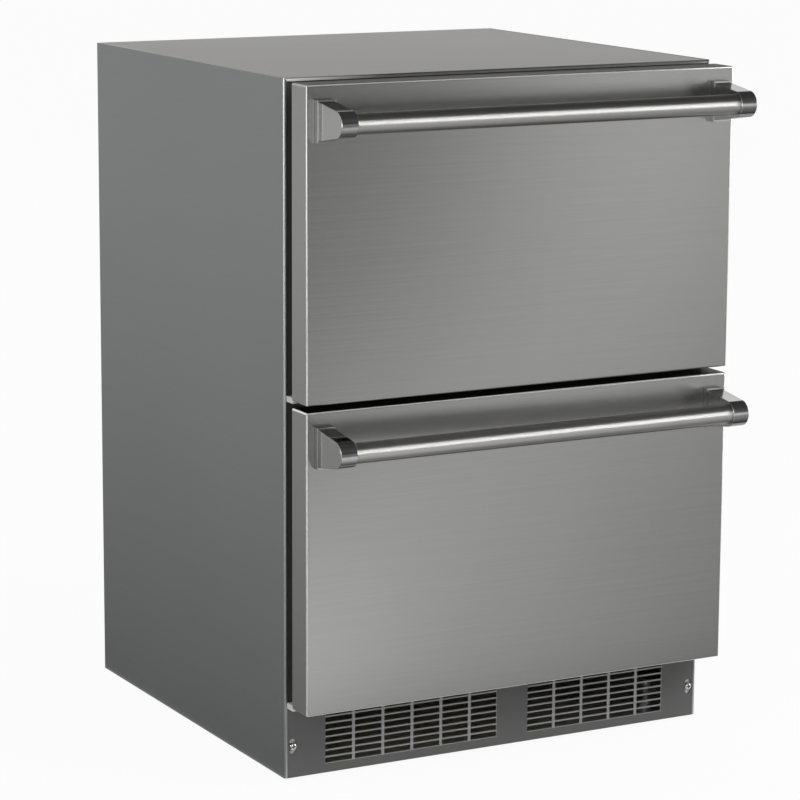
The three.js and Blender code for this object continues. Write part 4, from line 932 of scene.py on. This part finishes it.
def finned_coil(node, along, pitch, rows, columns):
    """Thin fins on straight tubes, joined outside the end plates by return bends."""
    low, high = box_of(node)
    depth_axis = Y_AXIS if along == X_AXIS else X_AXIS
    inset, radius, fin, end_plate = 9.0, 3.6, 0.3, 1.2
    start, stop = low[along] + inset, high[along] - inset
    near, far = low[depth_axis], high[depth_axis]
    room = stop - start - end_plate
    count = int((stop - start - 3) / pitch)
    plates = []
    for thickness, number, step in ((fin, count, room / count), (end_plate, 2, room)):
        plate = block(
            point_on(along, 0.0, near, low.z), point_on(along, thickness, far, high.z), along)
        first, across = (tuple(point_on(along, value, 0, 0)) for value in (start, step))
        plates.append(in_rows(plate, "fin_aluminium", number, 1, first, across))
    row_step = (high.z - low.z) / rows
    places = [low.z + row_step * (row + 0.5) for row in range(rows)]
    tubes = []
    for column in range(columns):
        d = near + (far - near) * (column + 0.5) / columns
        routes = [([(start - 1, z), (stop + 1, z)], 14.0) for z in places]
        for row, (z, next_z) in enumerate(zip(places, places[1:])):
            end, away = (
                (stop, high[along] - radius) if row % 2 == 0 else (start, low[along] + radius))
            route = [(end, z), (away, z), (away, next_z), (end, next_z)]
            routes.append((route, abs(away - end) * 0.95))
        for route, bend in routes:
            tubes.append(tube([point_on(along, a, d, z) for a, z in route], radius, bend, 12))
    return plates, tubes


def coils():
    for node, along, pitch, rows, columns in (
            ("condenser_coil", Y_AXIS, 2.6, 5, 2), ("evaporator_coil", X_AXIS, 5.2, 4, 1)):
        plates, tubes = finned_coil(node, along, pitch, rows, columns)
        piece_from(node + "_fins", merged(*plates), node)
        piece_from(node + "_tubes", merged(*tubes), slot="copper_pipe")


def fan_blade(root, tip, depth, axis):
    """Twisted, cupped blade that reaches out from the axis; depth is its room along the axis."""
    stations = 9
    rings = []
    for i in range(stations):
        t = i / (stations - 1)
        radius = root + (tip - root) * t
        chord = (tip - root) * (0.62 + 0.5 * t - 0.25 * t * t)
        pitch = math.radians(46 - 20 * t)
        half_depth = min(depth / 2, chord / 2 * math.sin(pitch))
        half_turn = chord / 2 * math.cos(pitch) / radius
        thick = 1.0 * (1 - 0.4 * t)
        blade = []
        for side in (1, -1):
            for k in range(7):
                s = (k / 6 * 2 - 1) * side
                cup = (1 - s * s) * depth * 0.10
                edge = math.sqrt(max(0.0, 1 - s * s)) * thick / 2 + 0.12
                axial = half_depth * s + cup + side * edge
                axial = max(-depth / 2, min(depth / 2, axial))
                turn = half_turn * s
                blade.append(
                    point_on(axis, axial, radius * math.cos(turn), radius * math.sin(turn)))
        rings.append(blade)
    return lofted(rings)


def fan_wheel(node, axis, hub):
    low, high = box_of(node)
    start, stop = low[axis], high[axis]
    middle = middle_of(node, axis)
    radius = (high.z - low.z) / 2 - 0.4
    blades = RING.run(
        fan_blade(hub * 0.85, radius, stop - start - 1, axis), SLOT_OF[node], Count=5,
        Centre=tuple(point_on(axis, (start + stop) / 2, *middle)),
        Axis=tuple(point_on(axis, 1.0, 0.0, 0.0)))
    hub_profile = [
        (0, start), (hub - 2, start), (hub - 0.5, start + 0.7), (hub, start + 2), (hub, stop),
        (hub - 2, stop), (hub - 2, start + 2.2), (5, start + 2.2), (5, stop - 1), (3, stop - 1),
        (3, start + 4), (0, start + 4)]
    piece_from(node + "_wheel", merged(blades, turned(hub_profile, axis, middle)), node)


COMPRESSOR_MIDDLE = (-165.0, 462.7)
COMPRESSOR_RADIUS = 68.0
STUB_PLACE = COMPRESSOR_RADIUS * 0.42
PIPE_RADIUS = 4.0


def compressor():
    x, y = COMPRESSOR_MIDDLE
    r = COMPRESSOR_RADIUS
    foot_z = box_of("compressor")[0].z
    bottom = foot_z + 15.0
    top, seam = bottom + 165.0, bottom + 92.0
    dome = r * 0.45
    profile = [(0, bottom), (r * 0.72, bottom)]
    profile += [(r * 0.72 + r * 0.27 * math.sin(a), bottom + dome / 2 * (1 - math.cos(a)))
                for a in (math.pi / 2 * i / 8 for i in range(1, 9))]
    profile += [(r * 0.99, seam - 4), (r - 0.2, seam - 3), (r - 0.1, seam - 1), (r, seam),
                (r - 1.2, seam + 1.2), (r * 0.965, seam + 2.4)]
    profile += [(r * 0.965 * math.cos(a), top - dome + dome * math.sin(a))
                for a in (math.pi / 2 * i / 14 for i in range(14))]
    shell = turned(profile + [(0, top)], Z_AXIS, (x, y), 96)
    half_x, half_y = r + 7, r - 8
    plate = lofted([
        [(x + u, y + v, z) for u, v in rounded(half_x + grow, half_y + grow, 12)]
        for grow, z in (
            (-0.6, bottom - 3), (0, bottom - 2.4), (0, bottom - 0.6), (-0.6, bottom))])
    piece_from("compressor_shell", merged(shell, plate), "compressor")
    grommet = turned([
        (0, 0), (8.6, 0), (9, 0.5), (9, 3.4), (7, 4.4), (7, 6.2), (9, 7.2), (9, 11.4),
        (8.6, 12), (0, 12)], Z_AXIS, steps=32)
    foot_x, foot_y = half_x - 12, half_y - 12
    grommets = in_rows(
        grommet, "gasket_rubber", 2, 2, (x - foot_x, y - foot_y, foot_z), (2 * foot_x, 0, 0),
        (0, 2 * foot_y, 0))
    piece_from("compressor_grommets", grommets, slot="gasket_rubber")
    stubs = []
    for place in (STUB_PLACE, -STUB_PLACE):
        ends = [(x + place, y - place, z) for z in (top - r * 0.3, top + 6)]
        stubs.append(tube(ends, PIPE_RADIUS))
    piece_from("compressor_stubs", merged(*stubs), slot="copper_pipe")


def pipes():
    x, y = COMPRESSOR_MIDDLE
    low, high = box_of("discharge_line")
    side, coil_x, top = y - STUB_PLACE, 80.0, high.z - 4
    discharge = [(x + STUB_PLACE, side, low.z), (x + STUB_PLACE, side, top), (coil_x, side, top),
                 (coil_x, side, box_of("condenser_coil")[1].z + SEAT)]
    low, high = box_of("suction_line")
    side, riser_x, rear, level = y + STUB_PLACE, 130.0, high.y - 4, 215.8
    suction = [(x - STUB_PLACE, side, low.z), (x - STUB_PLACE, side, level),
               (riser_x, side, level), (riser_x, rear, level), (riser_x, rear, high.z)]
    for node, route in (("discharge_line", discharge), ("suction_line", suction)):
        piece_from(node + "_tube", tube(route, PIPE_RADIUS), node)


def filter_drier():
    node = "filter_drier"
    low, high = box_of(node)
    middle, half = (low.y + high.y) / 2, (high.y - low.y) / 2
    radius = (high.x - low.x) / 2
    section = [(0, -half), (3.4, -half), (4, -half + 0.6), (4, -half + 9), (5.2, -half + 11),
               (radius - 1, -half + 17), (radius, -half + 20), (radius, 0)]
    section += [(r, -a) for r, a in reversed(section[:-1])]
    turned_piece(node + "_turned", node, [(r, middle + a) for r, a in section], Y_AXIS)


def buttons():
    for name in ("power_button", "warmer_button", "colder_button", "light_button"):
        low, high = box_of(name)
        r = (high.x - low.x) / 2
        face = [(0, 0.5), (0.55, 0.35), (0.75, 0.05), (0.85, 0), (0.95, 0.3), (1, 1.0)]
        profile = [(r * part, low.y + depth) for part, depth in face]
        turned_piece(name + "_cap", name, profile + [(r, high.y), (0, high.y)], Y_AXIS)


toe_grille()
grille_screws()
rear_panel()
leveling_legs()
handle_bars()
handle_brackets()
gaskets()
runners()
tubs()
coils()
fan_wheel("condenser_fan", X_AXIS, hub=66 / 3.6)
fan_wheel("evaporator_fan", Y_AXIS, hub=43 / 3)
compressor()
pipes()
filter_drier()
buttons()

# ---- copies with eased edges

EASED = {
    "side_panel_left": 0.4, "side_panel_right": 0.4, "top_panel": 0.4, "base_pan": 0.4,
    "face_frame": 0.4, "inner_liner": 1.0, "control_housing": 1.2, "display_lens": 0.4,
    "light_bar": 1.0, "evaporator_cover": 0.8, "condenser_fan_shroud": 0.4,
    "compressor_relay_box": 1.0, "condenser_fan_motor": 0.8, "evaporator_fan_motor": 0.5,
    "drain_tray": 1.0, "cord_gland": 0.4, "upper_front_skin": 0.3, "upper_front_panel": 1.0,
    "lower_front_skin": 0.3, "lower_front_panel": 1.0,
}


def solid_copy(node):
    """A solid's shape in millimetres, with its doubled corners merged."""
    shape = bmesh.new()
    shape.from_mesh(solids[node].data)
    bmesh.ops.remove_doubles(shape, verts=shape.verts, dist=1e-6)
    shape.transform(FROM_FRAME)
    return shape


for node, width in EASED.items():
    piece_from(node + "_eased", eased(solid_copy(node), width), node)


# ---- camera, floor and light

CAMERA_PLACE = (-1.97550, -3.60839, 1.22416)
CAMERA_AZIMUTH = -28.388
CAMERA_ELEVATION = 11.087
CAMERA_ROLL = 0.319

camera = linked("camera", bpy.data.cameras.new("camera"))
camera.data.sensor_width = 36
camera.data.lens = 143.23
camera.data.clip_end = 60
stand = Matrix.Translation(CAMERA_PLACE)
for degrees, axis in (
        (CAMERA_AZIMUTH, "Z"), (90 - CAMERA_ELEVATION, "X"), (CAMERA_ROLL, "Z")):
    stand = stand @ Matrix.Rotation(math.radians(degrees), 4, axis)
camera.matrix_world = stand
bpy.context.scene.camera = camera


def choice(nodes, factor, first, second, surface):
    """Mixes two shaders into a surface."""
    mix = nodes.node("ShaderNodeMixShader", (factor, first.outputs[0], second.outputs[0]))
    nodes.feed(nodes.tree.nodes[surface].inputs["Surface"], mix.outputs[0])


def sees_background(nodes):
    """1 for rays that show the white background: from the camera, and off or through things."""
    path = nodes.node("ShaderNodeLightPath").outputs
    seen = nodes.math("MAXIMUM", path["Is Camera Ray"], path["Is Glossy Ray"])
    return nodes.math("MAXIMUM", seen, path["Is Transmission Ray"])


def white_world(plain_level):
    world = bpy.data.worlds.new("studio")
    world.use_nodes = True
    nodes = Nodes(world.node_tree)
    light = nodes.tree.nodes["Background"]
    light.inputs["Color"].default_value = (1, 1, 1, 1)
    light.inputs["Strength"].default_value = plain_level
    shown = nodes.node("ShaderNodeBackground", {"Color": (1, 1, 1, 1), "Strength": 1.0})
    choice(nodes, sees_background(nodes), light, shown, "World Output")
    bpy.context.scene.world = world


def staged(name, corners, material):
    mesh = bpy.data.meshes.new(name)
    mesh.from_pydata(corners, [], [tuple(range(len(corners)))])
    mesh.materials.append(material)
    made = linked(name, mesh)
    return made


def pale_floor():
    floor = Finish((0.9, 0.9, 0.9), 0.9)
    floor.material.name = "floor"
    floor.put("Specular IOR Level", 0.0)
    part = floor.math("MULTIPLY", sees_background(floor), 0.93)
    choice(floor, part, floor.shader, floor.node("ShaderNodeEmission"), "Material Output")
    reach = 14
    corners = [(-reach, -reach, 0), (reach, -reach, 0), (reach, reach, 0), (-reach, reach, 0)]
    staged("floor", corners, floor.material)


def soft_lamp(name, place, size, power):
    lamp = bpy.data.lights.new(name, "AREA")
    lamp.shape = "RECTANGLE"
    lamp.size, lamp.size_y = size
    lamp.energy = power
    made = linked(name, lamp)
    made.location = place
    aim = Vector((0, 0, 0.5)) - Vector(place)
    made.rotation_euler = aim.to_track_quat("-Z", "Y").to_euler()
    made.visible_glossy = False


def level_along(nodes, direction, stops):
    """A level that follows (distance along a direction, level) stops across a card."""
    place = nodes.node("ShaderNodeTexCoord").outputs["Object"]
    distance = nodes.node(
        "ShaderNodeVectorMath", (place, direction), operation="DOT_PRODUCT").outputs["Value"]
    first, last = stops[0][0], stops[-1][0]
    brightest = max(level for _, level in stops)
    curve = nodes.node(
        "ShaderNodeFloatCurve", {"Value": nodes.ranged(distance, 0.0, 1.0, first, last)})
    points = curve.mapping.curves[0].points
    while len(points) < len(stops):
        points.new(0.5, 0.5)
    for point, (stop, level) in zip(points, stops):
        point.location = ((stop - first) / (last - first), level / brightest)
    curve.mapping.update()
    return nodes.math("MULTIPLY", curve.outputs["Value"], brightest)


def reflected_card(name, low, high, *levels):
    """A grey card that only reflections see, as bright as the product of its levels."""
    flat = [low[axis] == high[axis] for axis in range(3)].index(True)
    u, v = [axis for axis in range(3) if axis != flat]
    corners = [
        tuple(point_on(flat, low[flat], across[u], along[v]))
        for across, along in ((low, low), (high, low), (high, high), (low, high))]
    material = bpy.data.materials.new(name)
    material.use_nodes = True
    material.node_tree.nodes.clear()
    nodes = Nodes(material.node_tree)
    total = nodes.times(*(level_along(nodes, *level) for level in levels))
    glow = nodes.node("ShaderNodeEmission", {"Strength": total})
    nodes.node("ShaderNodeOutputMaterial", {"Surface": glow.outputs[0]})
    card = staged(name, corners, material)
    for kind in ("camera", "diffuse", "transmission", "volume_scatter", "shadow"):
        setattr(card, "visible_" + kind, False)


ACROSS, DEPTH, HEIGHT = (1, 0, 0), (0, 1, 0), (0, 0, 1)
SLANT = (1, 0.87, 0)
FLOOR_Z = 0.003
BOX_LEVELS = (
    HEIGHT, [(0.1, 7.5), (0.4, 8.5), (1.3, 8.5), (2.0, 7.0), (2.7, 5.5), (3.3, 4.0)])

# What the steel sees: a dark room with soft boxes round it, and a grey floor. Each card has its
# lowest and highest corners, and its brightness is the product of its levels.
REFLECTED_CARDS = (
    ("ceiling", (-6, -6, 3.4), (7, 4, 3.4),
     (DEPTH, [(-6, 0.12), (-3.5, 0.1), (0, 0.06), (4, 0.1)])),
    ("far_wall", (-6, -6, FLOOR_Z), (7, -6, 3.4),
     (HEIGHT, [(0, 1.0), (1.0, 1.0), (1.5, 0.6), (2.2, 0.3), (3.4, 0.22)]),
     (ACROSS, [(-6, 0.3), (2.2, 0.2), (3.0, 0.42), (3.4, 0.74), (3.75, 0.95), (4.1, 0.85),
               (5, 0.5), (7, 0.45)])),
    ("front_box", (-0.9, -3.6, 0.1), (0.3, -3.6, 3.3), BOX_LEVELS,
     (ACROSS, [(-0.9, 0.3), (0.3, 0.3)])),
    ("right_box", (3.9, -3.6, 0.1), (7, -3.6, 3.3), BOX_LEVELS),
    ("front_floor", (-3, -6, FLOOR_Z), (7, -0.32, FLOOR_Z),
     (SLANT, [(-8, 0.3), (-3, 0.35), (-2.0, 0.25), (-1.83, 0.22), (-1.6, 0.28), (-1.4, 0.38),
              (-1.2, 0.54), (-0.9, 0.84), (-0.78, 0.8), (-0.54, 0.58), (-0.32, 0.46),
              (-0.1, 0.36), (0.3, 0.25), (7, 0.25)]),
     (DEPTH, [(-6, 1.15), (-3, 1.0), (-2, 0.98), (-1.5, 1.0), (-1.1, 1.06), (-0.85, 1.2),
              (-0.65, 1.15), (-0.5, 0.8), (-0.32, 0.5)])),
    ("floor_strip", (-0.68, -3, 0.004), (-0.3, -0.5, 0.004),
     (DEPTH, [(-3, 2.2), (-1.7, 1.8), (-1.1, 0.6), (-0.5, 0.3)])),
    ("right_back_floor", (-0.3, 0.36, FLOOR_Z), (6, 7, FLOOR_Z),
     (DEPTH, [(0.36, 0.3), (7, 0.8)])),
    ("left_floor", (-6, -0.32, FLOOR_Z), (-0.306, 7, FLOOR_Z),
     (ACROSS, [(-6, 0.62), (-2.4, 0.5), (-1.5, 0.4), (-0.6, 0.27), (-0.306, 0.2)])),
    ("back_wall", (-6, 7, FLOOR_Z), (6, 7, 4.5),
     (ACROSS, [(-6, 0.55), (-1.5, 0.52), (0.5, 0.8), (6, 0.8)])),
    ("left_box", (-1.7, -1.3, 0.02), (-1.7, 0.15, 0.95),
     (HEIGHT, [(0.02, 1.6), (0.1, 1.0), (0.2, 0.2), (0.3, 0.1), (0.4, 0.1), (0.5, 0.3),
               (0.6, 3.0), (0.65, 6.5), (0.95, 6.5)])),
    ("front_left_box", (-1.7, -3.2, 0.02), (-1.7, -1.3, 0.95),
     (HEIGHT, [(0.02, 2.0), (0.25, 2.0), (0.5, 1.2), (0.95, 0.9)])),
)

bpy.context.scene.view_settings.view_transform = "Standard"
white_world(0.6)
pale_floor()
for card in REFLECTED_CARDS:
    reflected_card(*card)
soft_lamp("key", (1.9, -2.2, 3.2), (1.6, 1.6), 50)
soft_lamp("fill", (-2.6, -1.6, 1.6), (1.2, 1.6), 18)
